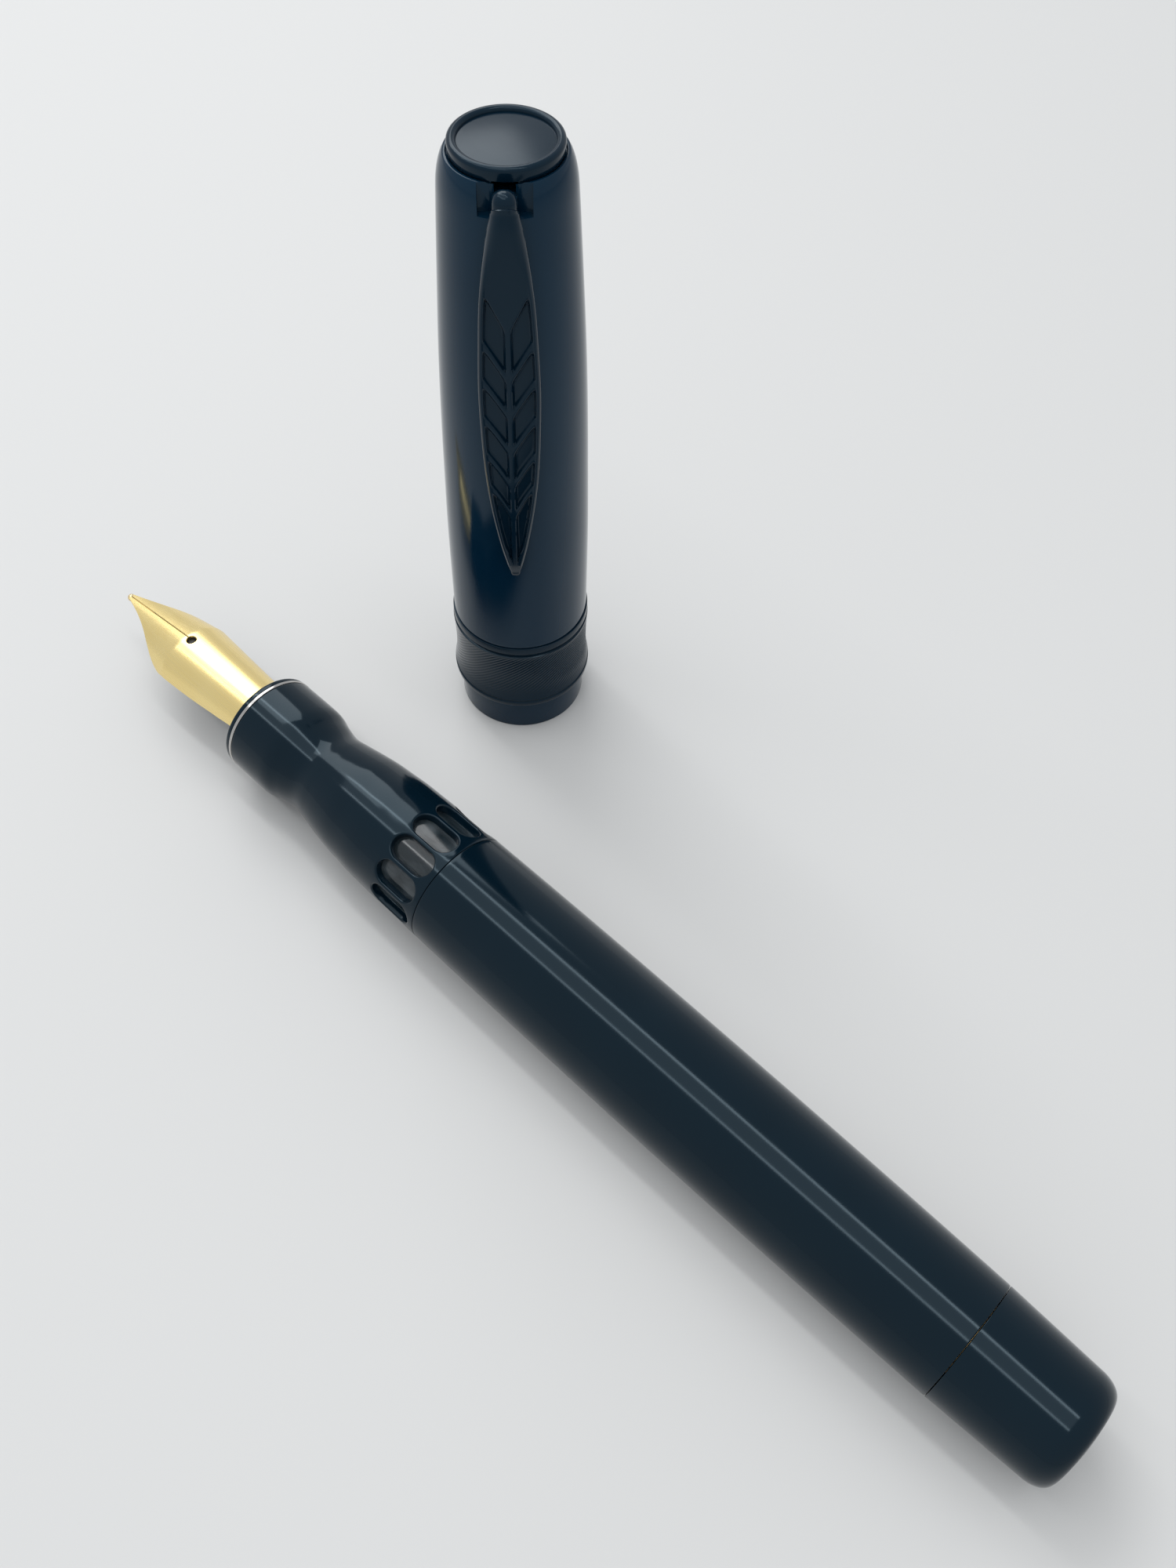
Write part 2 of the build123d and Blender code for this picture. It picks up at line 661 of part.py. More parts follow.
def cap_shell():
    start = h_shell + shell_straight
    middle = (start + h_shoulder) / 2
    top_r = finial_r + finial_ledge
    bore_r = sleeve_r + press_gap
    fit_r = liner_r + press_gap
    core_r = housing_r + press_gap
    h_magnet_end = magnet_h + magnet_length + 2 * run_gap
    outline = [
        Line((bore_r, h_shell), (shell_r, h_shell)),
        Line((shell_r, h_shell), (shell_r, start)),
        ThreePointArc((shell_r, start), (shell_radius(middle), middle), (shoulder_r, h_shoulder)),
        TangentArc((shoulder_r, h_shoulder), (top_r, h_shell_top), tangent=(-0.06, 1)),
        Line((top_r, h_shell_top), (core_r, h_shell_top)),
        Line((core_r, h_shell_top), (core_r, h_housing)),
        Line((core_r, h_housing), (fit_r, h_housing)),
        Line((fit_r, h_housing), (fit_r, h_magnet_end)),
        Line((fit_r, h_magnet_end), (throat_r, h_magnet_end)),
        Line((throat_r, h_magnet_end), (throat_r, h_sleeve_end)),
        Line((throat_r, h_sleeve_end), (bore_r, h_sleeve_end)),
        Line((bore_r, h_sleeve_end), (bore_r, h_shell)),
    ]
    body = revolve(Plane.XZ * make_face(outline), Axis.Z, 360)
    notch_width = 2 * (clip_neck + notch_gap)
    notch_depth = pin_drop + 1.0
    notch = Pos(shell_r, 0, h_shell_top) * Box(2 * (shell_r - housing_r + 1), notch_width, 2 * notch_depth)
    return body - Rot(0, 0, clip_heading) * notch


def mouth_sleeve():
    """Plain lip at the mouth with the thin sleeve that carries the band and screws into the shell."""
    h1 = h_sleeve_end - press_gap
    return pot((cap_bore_r + lip_ease, 0), (lip_r - 2 * lip_ease, 0), (lip_r, 4 * lip_ease),
               (lip_r, lip_height), (sleeve_r, lip_height), (sleeve_r, h1), (cap_bore_r, h1),
               (cap_bore_r, 2 * lip_ease))


def cap_band():
    """Waisted drum with a flared, double-lined rim below and a thin rim above a groove."""
    inner = sleeve_r + press_gap
    rim_r = band_r + band_rim
    waist_r = band_r + 0.02
    h0 = h_band
    h1 = h_band + band_height
    outline = [
        Line((inner, h0), (rim_r - 0.15, h0)),
        Line((rim_r - 0.15, h0), (rim_r, h0 + 0.2)),
        Line((rim_r, h0 + 0.2), (rim_r, h0 + 0.55)),
        Line((rim_r, h0 + 0.55), (rim_r - 0.14, h0 + 0.65)),
        Line((rim_r - 0.14, h0 + 0.65), (rim_r - 0.14, h0 + 0.8)),
        Line((rim_r - 0.14, h0 + 0.8), (rim_r - 0.04, h0 + 0.9)),
        Line((rim_r - 0.04, h0 + 0.9), (rim_r - 0.1, h0 + 1.15)),
        ThreePointArc((rim_r - 0.1, h0 + 1.15), (waist_r, h0 + 3.6), (band_r + 0.13, h1 - 1.35)),
        Line((band_r + 0.13, h1 - 1.35), (band_r - 0.14, h1 - 1.25)),
        Line((band_r - 0.14, h1 - 1.25), (band_r - 0.14, h1 - 0.95)),
        Line((band_r - 0.14, h1 - 0.95), (band_r + 0.1, h1 - 0.85)),
        Line((band_r + 0.1, h1 - 0.85), (band_r + 0.08, h1)),
        Line((band_r + 0.08, h1), (inner, h1)),
        Line((inner, h1), (inner, h0)),
    ]
    return revolve(Plane.XZ * make_face(outline), Axis.Z, 360)


def cap_liner():
    """Inner cap that seals on the front of the section and keeps the nib wet."""
    h0 = h_seal + seam_gap
    h_flange = magnet_h - run_gap
    h1 = h_liner_top + liner_floor
    return pot((liner_bore_r, h0), (liner_flange_r, h0), (liner_flange_r, h_flange), (liner_r, h_flange),
               (liner_r, h1), (0, h1), (0, h_liner_top), (liner_bore_r - 1, h_liner_top),
               (liner_bore_r, h_liner_top - 1))


def cap_magnets():
    return pot_ring(magnet_h, magnet_h + magnet_length, liner_r + press_gap, throat_r - press_gap)


def clip_housing():
    """Metal core in the head of the cap that carries the clip's pin, its spring and the finial's stud."""
    h1 = h_shell_top - press_gap
    body = pot((0, h_housing), (housing_r, h_housing), (housing_r, h1), (0, h1))
    slot_width = 2 * (clip_neck + run_gap)
    h_slot = h_pin - tongue_half - tongue_room
    slot_in = stud_r + housing_web
    slot_len = housing_r + 1 - slot_in
    slot_height = h_shell_top + 1 - h_slot
    slot = Pos(slot_in + slot_len / 2, 0, h_slot + slot_height / 2) * Box(slot_len, slot_width, slot_height)
    pin_hole = Pos(pin_reach, 0, h_pin) * Rot(90, 0, 0) * Cylinder(pin_r + press_gap, 4 * housing_r)
    spring_room = spring_r + spring_wire + 2 * run_gap
    pocket = Pos(spring_place, 0, (h_spring + h_pin) / 2) * Cylinder(spring_room, h_pin - h_spring)
    stud_hole = Pos(0, 0, h_shell_top) * Cylinder(stud_r + press_gap, 2 * stud_length)
    return Rot(0, 0, clip_heading) * (body - slot - pin_hole - pocket - stud_hole)


def clip_pin():
    half = math.sqrt(housing_r ** 2 - (pin_reach + pin_r) ** 2) - press_gap
    return Rot(0, 0, clip_heading) * Pos(pin_reach, 0, h_pin) * Rot(90, 0, 0) * Cylinder(pin_r, 2 * half)


def clip_spring():
    height = h_pin - tongue_half - h_spring - 2 * (spring_wire + 2 * press_gap)
    path = Helix(height / spring_turns, height, spring_r)
    start = Plane(origin=path @ 0, z_dir=path % 0)
    coil = sweep(start * Circle(spring_wire), path)
    h_coil = h_spring + spring_wire + press_gap
    return Rot(0, 0, clip_heading) * Pos(spring_place, 0, h_coil) * coil


def cap_finial():
    """Disc that closes the head: a raised rim round a shallow dish."""
    h0 = h_shell_top
    h1 = cap_length
    h_dish = h1 - finial_dish
    hole = stud_r + press_gap
    edge = 0.15
    return pot((hole, h0), (finial_r - edge, h0), (finial_r, h0 + edge), (finial_r, h_dish),
               (finial_r - edge, h1 - edge / 3), (finial_r - finial_rim / 2, h1),
               (finial_r - finial_rim, h1 - edge / 3), (finial_r - finial_rim - edge, h_dish),
               (0, h_dish + edge / 2), (0, h_stud_top), (hole, h_stud_top))


def finial_stud():
    low = h_shell_top - stud_length + 2 * run_gap
    high = h_stud_top - press_gap
    return pot((0, low), (stud_r, low), (stud_r, high), (0, high))


# ---- clip ----
def clip_side():
    """Side view of the clip in (distance from the cap's axis, height), from its tongue to its tip."""
    h_touch = h_tip + 2.2
    h_low = h_tip + 7.5
    h_mid = (h_low + h_shoulder) / 2
    h_high = h_shoulder - 1.2
    back = clip_air
    front = clip_air + clip_thickness
    touch = (shell_radius(h_touch) + clip_touch, h_touch)
    tongue_in = stud_r + housing_web + 0.2
    neck_in = max(shoulder_r - clip_reach, finial_r + clip_air)
    back_points = [touch, (shell_radius(h_low) + back, h_low), (shell_radius(h_mid) + back, h_mid),
                   (shell_radius(h_high) + back, h_high), (neck_in + 0.5, h_pin - tongue_half)]
    h_hump = h_pin + hump_rise - 0.65
    hump_in = (neck_in, h_hump)
    hump_top = (neck_in + hump_depth * 0.46, h_pin + hump_rise)
    hump_out = (neck_in + hump_depth, h_hump)
    front_points = [hump_out, (shell_radius(h_high) + front + 0.25, h_high),
                    (shell_radius(h_mid) + front, h_mid), (shell_radius(h_low) + front, h_low),
                    (touch[0] + 0.95, h_tip + 0.7)]
    hump = ThreePointArc(hump_in, hump_top, hump_out)
    front_line = Spline(*front_points)
    nose = ThreePointArc(front_points[-1], (touch[0] + 0.5, h_tip), (touch[0] + 0.12, h_tip + 0.6))
    heel = Line((touch[0] + 0.12, h_tip + 0.6), touch)
    back_line = Polyline(*back_points)
    return make_face([
        hump,
        front_line,
        nose,
        heel,
        *back_line.edges(),
        Line(back_points[-1], (tongue_in, h_pin - tongue_half)),
        Line((tongue_in, h_pin - tongue_half), (tongue_in, h_pin + tongue_half)),
        Line((tongue_in, h_pin + tongue_half), (neck_in - 0.3, h_pin + tongue_half)),
        Line((neck_in - 0.3, h_pin + tongue_half), hump_in),
    ])


def clip_half(share):
    """Half width of the clip's leaf at a share of its length from the top."""
    for (a, wa), (b, wb) in zip(leaf_form, leaf_form[1:]):
        if share <= b:
            return clip_half_width * (wa + (wb - wa) * (share - a) / (b - a))
    return clip_half_width * leaf_form[-1][1]


def clip_front():
    """Front view of the clip in (across, height): a narrow neck that opens into a leaf with a round tip."""
    h_top = h_pin + hump_rise + 0.45
    points = [(clip_neck, h_leaf)]
    for share, width in leaf_form[1:-1]:
        points.append((clip_half_width * width, h_leaf - share * leaf))
    points.append((0.45, h_tip + 0.12))
    right = Spline(*points)
    nose = ThreePointArc(points[-1], (0, h_tip), (-points[-1][0], points[-1][1]))
    neck = Line((clip_neck, h_top), (clip_neck, h_leaf))
    top = Line((-clip_neck, h_top), (clip_neck, h_top))
    return make_face([top, neck, right, nose, mirror(right, Plane.YZ), mirror(neck, Plane.YZ)])


def leaf_point(share, across):
    return (across, h_leaf - share * leaf)


def clip_pockets():
    """Feather pattern: six pairs of slanting pockets between a spine and the raised edge."""
    pockets = []
    for top, below in zip(leaf_pockets, leaf_pockets[1:] + (None,)):
        slant = leaf_slant if below else leaf_slant * 0.6
        low = below - leaf_rib if below else 0.85
        inner_low = min(low + slant, 0.9)
        outer_top = max(leaf_spine + 0.2, clip_half(top) - leaf_edge)
        outer_low = max(leaf_spine + 0.2, clip_half(low) - leaf_edge)
        corners = [leaf_point(top, outer_top), leaf_point(low, outer_low), leaf_point(inner_low, leaf_spine),
                   leaf_point(top + slant, leaf_spine)]
        pockets.append(make_face(Polyline(*corners, close=True)))
    return pockets


def clip():
    """Lance-shaped clip: a tongue on the pivot pin, a hump over the shoulder and a leaf along the shell."""
    side = extrude(Plane.XZ * clip_side(), clip_half_width + 1, both=True)
    front = extrude(Plane.YZ * clip_front(), shell_r + 12)
    blade = side & front
    skin = blade - Pos(-clip_pocket, 0, 0) * blade
    body = blade
    for face in clip_pockets():
        for side_sign in (1, -1):
            shape = face if side_sign == 1 else mirror(face, Plane.YZ)
            prism = Pos(shell_r, 0, 0) * extrude(Plane.YZ * shape, 6)
            body -= prism & skin
    body -= Pos(pin_reach, 0, h_pin) * Rot(90, 0, 0) * Cylinder(pin_r + run_gap, 4 * housing_r)
    return body


def save(name, shape, place):
    """Write one node, standing where it belongs on the object."""
    solids = shape if isinstance(shape, list) else [shape]
    placed = [place * piece for piece in solids]
    export_step(Compound(children=placed) if len(placed) > 1 else placed[0], f"parts/{name}.step")


def main():
    os.makedirs("parts", exist_ok=True)
    nib_solid = nib()
    pen_parts = {
        "nib": nib_solid,
        "nib_tipping": nib_tipping(nib_solid),
        "feed": feed(),
        "nib_collar": nib_collar(),
        "section_front_ring": section_front_ring(),
        "section_trim_ring": section_trim_ring(),
        "lock_magnets": lock_magnets(),
        "section": section(),
        "collar_o_ring": collar_o_ring(),
        "shutoff_seat": shutoff_seat(),
        "ink_window_tube": ink_window_tube(),
        "barrel_o_ring": barrel_o_ring(),
        "barrel": barrel(),
        "rear_gland": rear_gland(),
        "gland_packing": gland_packing(),
        "packing_spacer": packing_spacer(),
        "gland_nut": gland_nut(),
        "plunger_rod": plunger_rod(),
        "plunger_nose": plunger_nose(),
        "plunger_seal": plunger_seal(),
        "seal_washer": seal_washer(),
        "rod_collar": rod_collar(),
        "end_knob": end_knob(),
        "knob_insert": knob_insert(),
    }
    cap_parts = {
        "cap_shell": cap_shell(),
        "mouth_sleeve": mouth_sleeve(),
        "cap_band": cap_band(),
        "cap_liner": cap_liner(),
        "cap_magnets": cap_magnets(),
        "clip_housing": clip_housing(),
        "clip_pin": clip_pin(),
        "clip_spring": clip_spring(),
        "cap_finial": cap_finial(),
        "finial_stud": finial_stud(),
    }
    for name, shape in pen_parts.items():
        save(name, shape, pen_place)
    for name, shape in cap_parts.items():
        save(name, shape, cap_place)
    save("clip", clip(), clip_place)


main()
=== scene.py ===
import math

import bmesh
import bpy
from mathutils import Matrix, Vector


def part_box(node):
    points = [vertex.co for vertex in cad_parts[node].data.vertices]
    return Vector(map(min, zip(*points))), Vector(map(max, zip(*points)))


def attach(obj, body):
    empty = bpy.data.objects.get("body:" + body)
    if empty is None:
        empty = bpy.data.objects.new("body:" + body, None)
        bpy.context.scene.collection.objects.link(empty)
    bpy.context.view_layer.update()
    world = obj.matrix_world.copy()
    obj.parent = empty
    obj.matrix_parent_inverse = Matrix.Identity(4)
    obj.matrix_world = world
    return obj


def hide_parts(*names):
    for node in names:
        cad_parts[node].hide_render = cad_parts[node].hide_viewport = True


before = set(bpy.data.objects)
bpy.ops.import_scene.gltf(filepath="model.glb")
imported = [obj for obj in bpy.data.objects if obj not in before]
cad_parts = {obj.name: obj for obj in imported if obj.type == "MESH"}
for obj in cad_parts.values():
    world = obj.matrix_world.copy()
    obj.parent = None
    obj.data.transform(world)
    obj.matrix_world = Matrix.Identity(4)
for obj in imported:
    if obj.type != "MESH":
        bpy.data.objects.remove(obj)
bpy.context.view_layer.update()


# ---- Table, lights and camera ----
# A plain pale table under a wide ceiling panel with two bright strips, whose long reflections run
# down the polished resin, and a soft box behind. The camera looks down from the knob's side.
bpy.context.scene.view_settings.view_transform = "Standard"
floor_mesh = bpy.data.meshes.new("floor")
floor_half = 1.6
floor_corners = [(-floor_half, -floor_half, 0), (floor_half, -floor_half, 0),
                 (floor_half, floor_half, 0), (-floor_half, floor_half, 0)]
floor_mesh.from_pydata(floor_corners, [], [(0, 1, 2, 3)])
floor = bpy.data.objects.new("floor", floor_mesh)
bpy.context.scene.collection.objects.link(floor)
floor_paint = bpy.data.materials.new("floor_paint")
floor_paint.use_nodes = True
floor_surface = floor_paint.node_tree.nodes["Principled BSDF"]
floor_surface.inputs["Base Color"].default_value = (0.62, 0.623, 0.62, 1)
floor_surface.inputs["Roughness"].default_value = 0.65
floor_mesh.materials.append(floor_paint)

world = bpy.data.worlds.new("studio")
world.use_nodes = True
background = world.node_tree.nodes["Background"]
background.inputs["Color"].default_value = (0.85, 0.87, 0.89, 1)
background.inputs["Strength"].default_value = 0.76
bpy.context.scene.world = world


def soft_box(name, place, aim, width, height, watts):
    """Rectangular light at place that shines towards aim."""
    light = bpy.data.lights.new(name, "AREA")
    light.shape = "RECTANGLE"
    light.size = width
    light.size_y = height
    light.energy = watts
    lamp = bpy.data.objects.new(name, light)
    lamp.location = place
    lamp.rotation_euler = (Vector(aim) - Vector(place)).to_track_quat("-Z", "Y").to_euler()
    bpy.context.scene.collection.objects.link(lamp)


soft_box("back_box", (-0.62, 0.27, 0.70), (-0.03, 0, 0), 0.60, 0.50, 2.8)
soft_box("ceiling_panel", (-0.25, -0.105, 0.72), (-0.25, -0.105, 0), 1.0, 0.32, 0.9)
soft_box("ceiling_strip_a", (-0.25, 0.07, 0.70), (-0.25, 0.07, 0), 1.0, 0.045, 0.95)
soft_box("ceiling_strip_b", (-0.25, -0.27, 0.70), (-0.25, -0.27, 0), 1.0, 0.045, 0.8)

camera_data = bpy.data.cameras.new("camera")
camera_data.sensor_width = 36
camera_data.lens = 31.89
camera = bpy.data.objects.new("camera", camera_data)
camera_place = Vector((0.04765, -0.05785, 0.12734))
camera_aim = Vector((-0.0118, 0.0075, 0))
camera_roll = math.radians(1.9)
camera_look = (camera_aim - camera_place).to_track_quat("-Z", "Y").to_matrix()
camera_turn = camera_look @ Matrix.Rotation(camera_roll, 3, "Z")
camera.matrix_world = Matrix.Translation(camera_place) @ camera_turn.to_4x4()
camera_data.clip_start = 0.005
bpy.context.scene.collection.objects.link(camera)
bpy.context.scene.camera = camera


# ---- Barrel ----
# The ink reservoir and body: one tube of polished blue-black resin, turned with a slight belly
# and tapered to the rear. It screws on the clear tube at the front, and the gland plugs its rear.
mm = 0.001


class Value:
    """A socket of a finish's node tree that can be used in sums with numbers and other values."""

    def __init__(self, finish, socket):
        self.finish = finish
        self.socket = socket

    def combine(self, operation, first, second):
        return self.finish.node("ShaderNodeMath", {"operation": operation}, {0: first, 1: second})

    def __add__(self, other):
        return self.combine("ADD", self, other)

    def __mul__(self, other):
        return self.combine("MULTIPLY", self, other)

    __radd__ = __add__
    __rmul__ = __mul__


class Finish:
    """A material: constants are set on the surface shader's own sockets, and nodes add what varies."""

    def __init__(self, name, **constants):
        self.material = bpy.data.materials.new(name)
        self.material.use_nodes = True
        self.tree = self.material.node_tree
        self.surface = self.tree.nodes["Principled BSDF"]
        for key, value in constants.items():
            self.surface.inputs[key.replace("_", " ")].default_value = value

    def node(self, kind, settings=(), inputs=(), output=0):
        made = self.tree.nodes.new(kind)
        for key, value in dict(settings).items():
            if key == "stops":
                ramp = made.color_ramp
                for element, (place, colour) in zip(ramp.elements, value):
                    element.position = place
                    element.color = colour
            else:
                setattr(made, key, value)
        for key, value in dict(inputs).items():
            if isinstance(value, Value):
                self.tree.links.new(value.socket, made.inputs[key])
            else:
                made.inputs[key].default_value = value
        return Value(self, made.outputs[output])

    def place(self, stretch=(1, 1, 1)):
        """Position on the piece, in metres, stretched along each axis."""
        where = self.node("ShaderNodeTexCoord", output="Object")
        return self.node("ShaderNodeMapping", {}, {"Vector": where, "Scale": stretch})

    def grain(self, size, detail=2.0, stretch=(1, 1, 1)):
        """Cloudy noise from 0 to 1 with blobs of about size metres."""
        inputs = {"Vector": self.place(stretch), "Scale": 1 / size, "Detail": detail}
        return self.node("ShaderNodeTexNoise", {}, inputs)

    def blend(self, share, first, second):
        """Colour between first and second."""
        return self.node("ShaderNodeMix", {"data_type": "RGBA"}, {0: share, 6: first, 7: second}, output=2)

    def feed(self, **sockets):
        for key, value in sockets.items():
            self.tree.links.new(value.socket, self.surface.inputs[key.replace("_", " ")])
        return self

    def bump(self, height, strength, depth):
        bumps = self.node("ShaderNodeBump", {}, {"Height": height, "Strength": strength, "Distance": depth})
        self.tree.links.new(bumps.socket, self.surface.inputs["Normal"])
        return self


def resin_finish(name, deep, pale, roughness, shine):
    """Polished cast resin: a hint of cloud in the colour, hairline polishing marks and faint haze."""
    finish = Finish(name, IOR=1.5, Specular_IOR_Level=shine, Specular_Tint=(0.66, 0.87, 1, 1))
    cloud = finish.grain(0.009, 3)
    haze = finish.grain(0.0035, 4)
    marks = finish.grain(0.0006, 2, (0.03, 1, 1))
    colour = finish.blend(cloud, deep, pale)
    finish.feed(Base_Color=colour, Roughness=haze * 0.05 + marks * 0.03 + (roughness - 0.04))
    return finish.bump(marks, 0.05, 0.00002)


resin = resin_finish("blue_black_resin", (0.0008, 0.0055, 0.011, 1), (0.0015, 0.0085, 0.016, 1), 0.11, 0.27)


def corner(before, here, after, radius, steps=4):
    """Points of a rounded corner of an outline."""
    into = Vector(here) - Vector(before)
    out = Vector(after) - Vector(here)
    turn = into.angle(out, 0)
    if radius <= 0 or turn < 0.02:
        return [tuple(here)]
    reach = min(radius * math.tan(turn / 2), into.length * 0.49, out.length * 0.49)
    start = Vector(here) - into.normalized() * reach
    end = Vector(here) + out.normalized() * reach
    points = []
    for i in range(steps + 1):
        t = i / steps
        points.append(tuple(start.lerp(Vector(here), t).lerp(Vector(here).lerp(end, t), t)))
    return points


def rounded(outline, closed=True):
    """Outline of (station, radius, rounding) with its corners rounded."""
    points = []
    count = len(outline)
    for i, (station, radius, rounding) in enumerate(outline):
        if not closed and i in (0, count - 1):
            points.append((station, radius))
            continue
        points += corner(outline[i - 1][:2], (station, radius), outline[(i + 1) % count][:2], rounding)
    return points


def make_object(name, mesh_maker, sharp=32):
    """Object from a bmesh, welded, with outward faces, smooth except at sharp edges."""
    bmesh.ops.remove_doubles(mesh_maker, verts=mesh_maker.verts, dist=2e-7)
    bmesh.ops.dissolve_degenerate(mesh_maker, edges=mesh_maker.edges, dist=1e-8)
    bmesh.ops.recalc_face_normals(mesh_maker, faces=mesh_maker.faces)
    mesh = bpy.data.meshes.new(name)
    mesh_maker.to_mesh(mesh)
    mesh_maker.free()
    mesh.polygons.foreach_set("use_smooth", [True] * len(mesh.polygons))
    mesh.set_sharp_from_angle(angle=math.radians(sharp))
    piece = bpy.data.objects.new(name, mesh)
    bpy.context.scene.collection.objects.link(piece)
    return piece


def turned(name, points, centre, along="X", columns=192, first_angle=0.0, closed=True, relief=None,
           sharp=32):
    """Piece turned on a lathe. Points are (station, radius) in millimetres, centre is the axis in metres."""
    maker = bmesh.new()
    rings = []
    for station, radius in points:
        ring = []
        for j in range(columns if radius > 1e-4 else 1):
            angle = first_angle + 2 * math.pi * j / columns
            reach = radius
            if relief is not None:
                angle, reach = relief(station, radius, angle, j)
            across = (reach * math.sin(angle) * mm, reach * math.cos(angle) * mm)
            if along == "X":
                spot = (station * mm, centre[1] + across[0], centre[2] + across[1])
            else:
                spot = (centre[0] + across[1], centre[1] + across[0], station * mm)
            ring.append(maker.verts.new(spot))
        rings.append(ring)
    pairs = list(zip(rings, rings[1:]))
    if closed and not (len(rings[0]) == 1 and len(rings[-1]) == 1):
        pairs.append((rings[-1], rings[0]))
    for one, two in pairs:
        if len(one) == 1 and len(two) == 1:
            continue
        for j in range(columns):
            k = (j + 1) % columns
            corners = [one[j % len(one)], one[k % len(one)], two[k % len(two)], two[j % len(two)]]
            maker.faces.new(list(dict.fromkeys(corners)))
    return make_object(name, maker, sharp)


def settle(piece, body, slot, finish, *nodes):
    """Gives a piece its finish, its body and the CAD nodes it stands for. The slot is not used."""
    piece.data.materials.clear()
    piece.data.materials.append(finish.material)
    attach(piece, body)
    if nodes:
        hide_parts(*nodes)


def spread(start, end, count):
    """Evenly spaced stations from start to end, both included."""
    return [start + (end - start) * i / count for i in range(count + 1)]


barrel_low, barrel_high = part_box("barrel")
pen_axis = (barrel_low + barrel_high) / 2
barrel_front = barrel_low.x / mm
barrel_rear = barrel_high.x / mm
barrel_r = (barrel_high.z - barrel_low.z) / 2 / mm
barrel_taper = 0.53
barrel_belly = 16.7
barrel_wall = 1.58


def barrel_radius(x):
    """Outside radius of the barrel at x, in millimetres."""
    share = (x - barrel_front - barrel_belly) / (barrel_rear - barrel_front - barrel_belly)
    return barrel_r - barrel_taper * share ** 2


barrel_edge = 0.09
chamber_r = barrel_r - barrel_wall
gland_depth = 10
gland_flare = 0.3
socket_depth = 8.7
socket_floor = 8.8
tube_fit = 0.02
barrel_outside = [(x, barrel_radius(x), 0) for x in spread(barrel_front + 0.4, barrel_rear - 0.4, 40)]
barrel_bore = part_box("ink_window_tube")[1].z / mm - pen_axis.z / mm + tube_fit
barrel_points = rounded(
    [(barrel_front, barrel_bore, 0), (barrel_front, barrel_radius(barrel_front), barrel_edge)]
    + barrel_outside
    + [(barrel_rear, barrel_radius(barrel_rear), barrel_edge), (barrel_rear, chamber_r + gland_flare, 0),
       (barrel_rear - gland_depth, chamber_r, 0), (barrel_front + socket_floor, chamber_r, 0),
       (barrel_front + socket_depth, barrel_bore, 0)])
barrel = turned("barrel_tube", barrel_points, pen_axis)
settle(barrel, "pen", "resin", resin, "barrel")


# ---- End knob ----
# Blind cap of the same resin behind a fine seam. It unscrews from the gland's boss and is the
# handle of the plunger. Its edge is generously rounded and its end is slightly domed.
knob_low, knob_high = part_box("end_knob")
knob_front = knob_low.x / mm
knob_end = knob_high.x / mm
knob_r = barrel_radius(barrel_rear)
knob_drop = 0.38
knob_round = 2.6
knob_wall = 0.85
knob_bore = knob_r - knob_drop - knob_wall
knob_bore_floor = 4.3
rod_seat_r = 2.6
rod_seat_floor = 3
knob_side_r = knob_r - knob_drop
dome_r = knob_side_r * 0.72
dome_rise = 0.4
edge_arc = []
edge_steps = 14
for i in range(edge_steps + 1):
    swing = math.pi / 2 * i / edge_steps
    edge_arc.append((knob_end - knob_round + (knob_round - dome_rise) * math.sin(swing),
                     dome_r + (knob_side_r - dome_r) * math.cos(swing) ** 0.85, 0))
dome = [(knob_end - dome_rise * (r / dome_r) ** 2, r, 0) for r in spread(dome_r * 0.94, 0, 12)]
knob_points = rounded(
    [(knob_front + 0.02, knob_bore, 0), (knob_front, knob_r, barrel_edge)]
    + [(x, knob_r - knob_drop * (x - knob_front) / (knob_end - knob_round - knob_front), 0)
       for x in spread(knob_front + 0.6, knob_end - knob_round - 0.4, 8)]
    + edge_arc + dome
    + [(knob_end - rod_seat_floor, 0, 0), (knob_end - rod_seat_floor, rod_seat_r, 0),
       (knob_end - knob_bore_floor, rod_seat_r, 0), (knob_end - knob_bore_floor, knob_bore, 0)])
knob = turned("blind_cap", knob_points, pen_axis)
settle(knob, "knob", "resin", resin, "end_knob")


# ---- Section ----
# The grip: one piece of the same resin with a collar in front, a waist for the fingers and a skirt
# with twelve oblong windows milled through it. The rims of the windows are rounded by polishing.
section_low, section_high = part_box("section")
section_front = section_low.x / mm
seam = section_high.x / mm
lip_r = (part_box("section_trim_ring")[1].z - pen_axis.z) / mm - 0.03
seam_r = barrel_radius(barrel_front)
bore_r = barrel_bore
waist_knots = [(0, lip_r), (4.6, lip_r), (5.6, lip_r - 0.12), (6.9, lip_r - 0.5),
               (8.9, lip_r - 0.83), (10.9, lip_r - 0.56),
               (12.9, lip_r - 0.22), (14.9, lip_r + 0.07), (16.9, lip_r + 0.24), (18.9, lip_r + 0.4),
               (20.9, seam_r - 0.12), (23.0, seam_r - 0.06), (29.2, seam_r)]


def through_knots(knots, x):
    """Smooth curve through knots of (x, value)."""
    last = len(knots) - 1
    i = max(0, min(last - 1, sum(1 for knot in knots if knot[0] <= x) - 1))

    def slope(j):
        a, b = knots[max(0, j - 1)], knots[min(last, j + 1)]
        return (b[1] - a[1]) / (b[0] - a[0])

    (x0, y0), (x1, y1) = knots[i], knots[i + 1]
    span = x1 - x0
    t = min(1, max(0, (x - x0) / span))
    return ((2 * t ** 3 - 3 * t * t + 1) * y0 + (t ** 3 - 2 * t * t + t) * span * slope(i)
            + (3 * t * t - 2 * t ** 3) * y1 + (t ** 3 - t * t) * span * slope(i + 1))


def section_radius(x):
    """Outside radius of the section at x, in millimetres."""
    return through_knots(waist_knots, x - section_front)


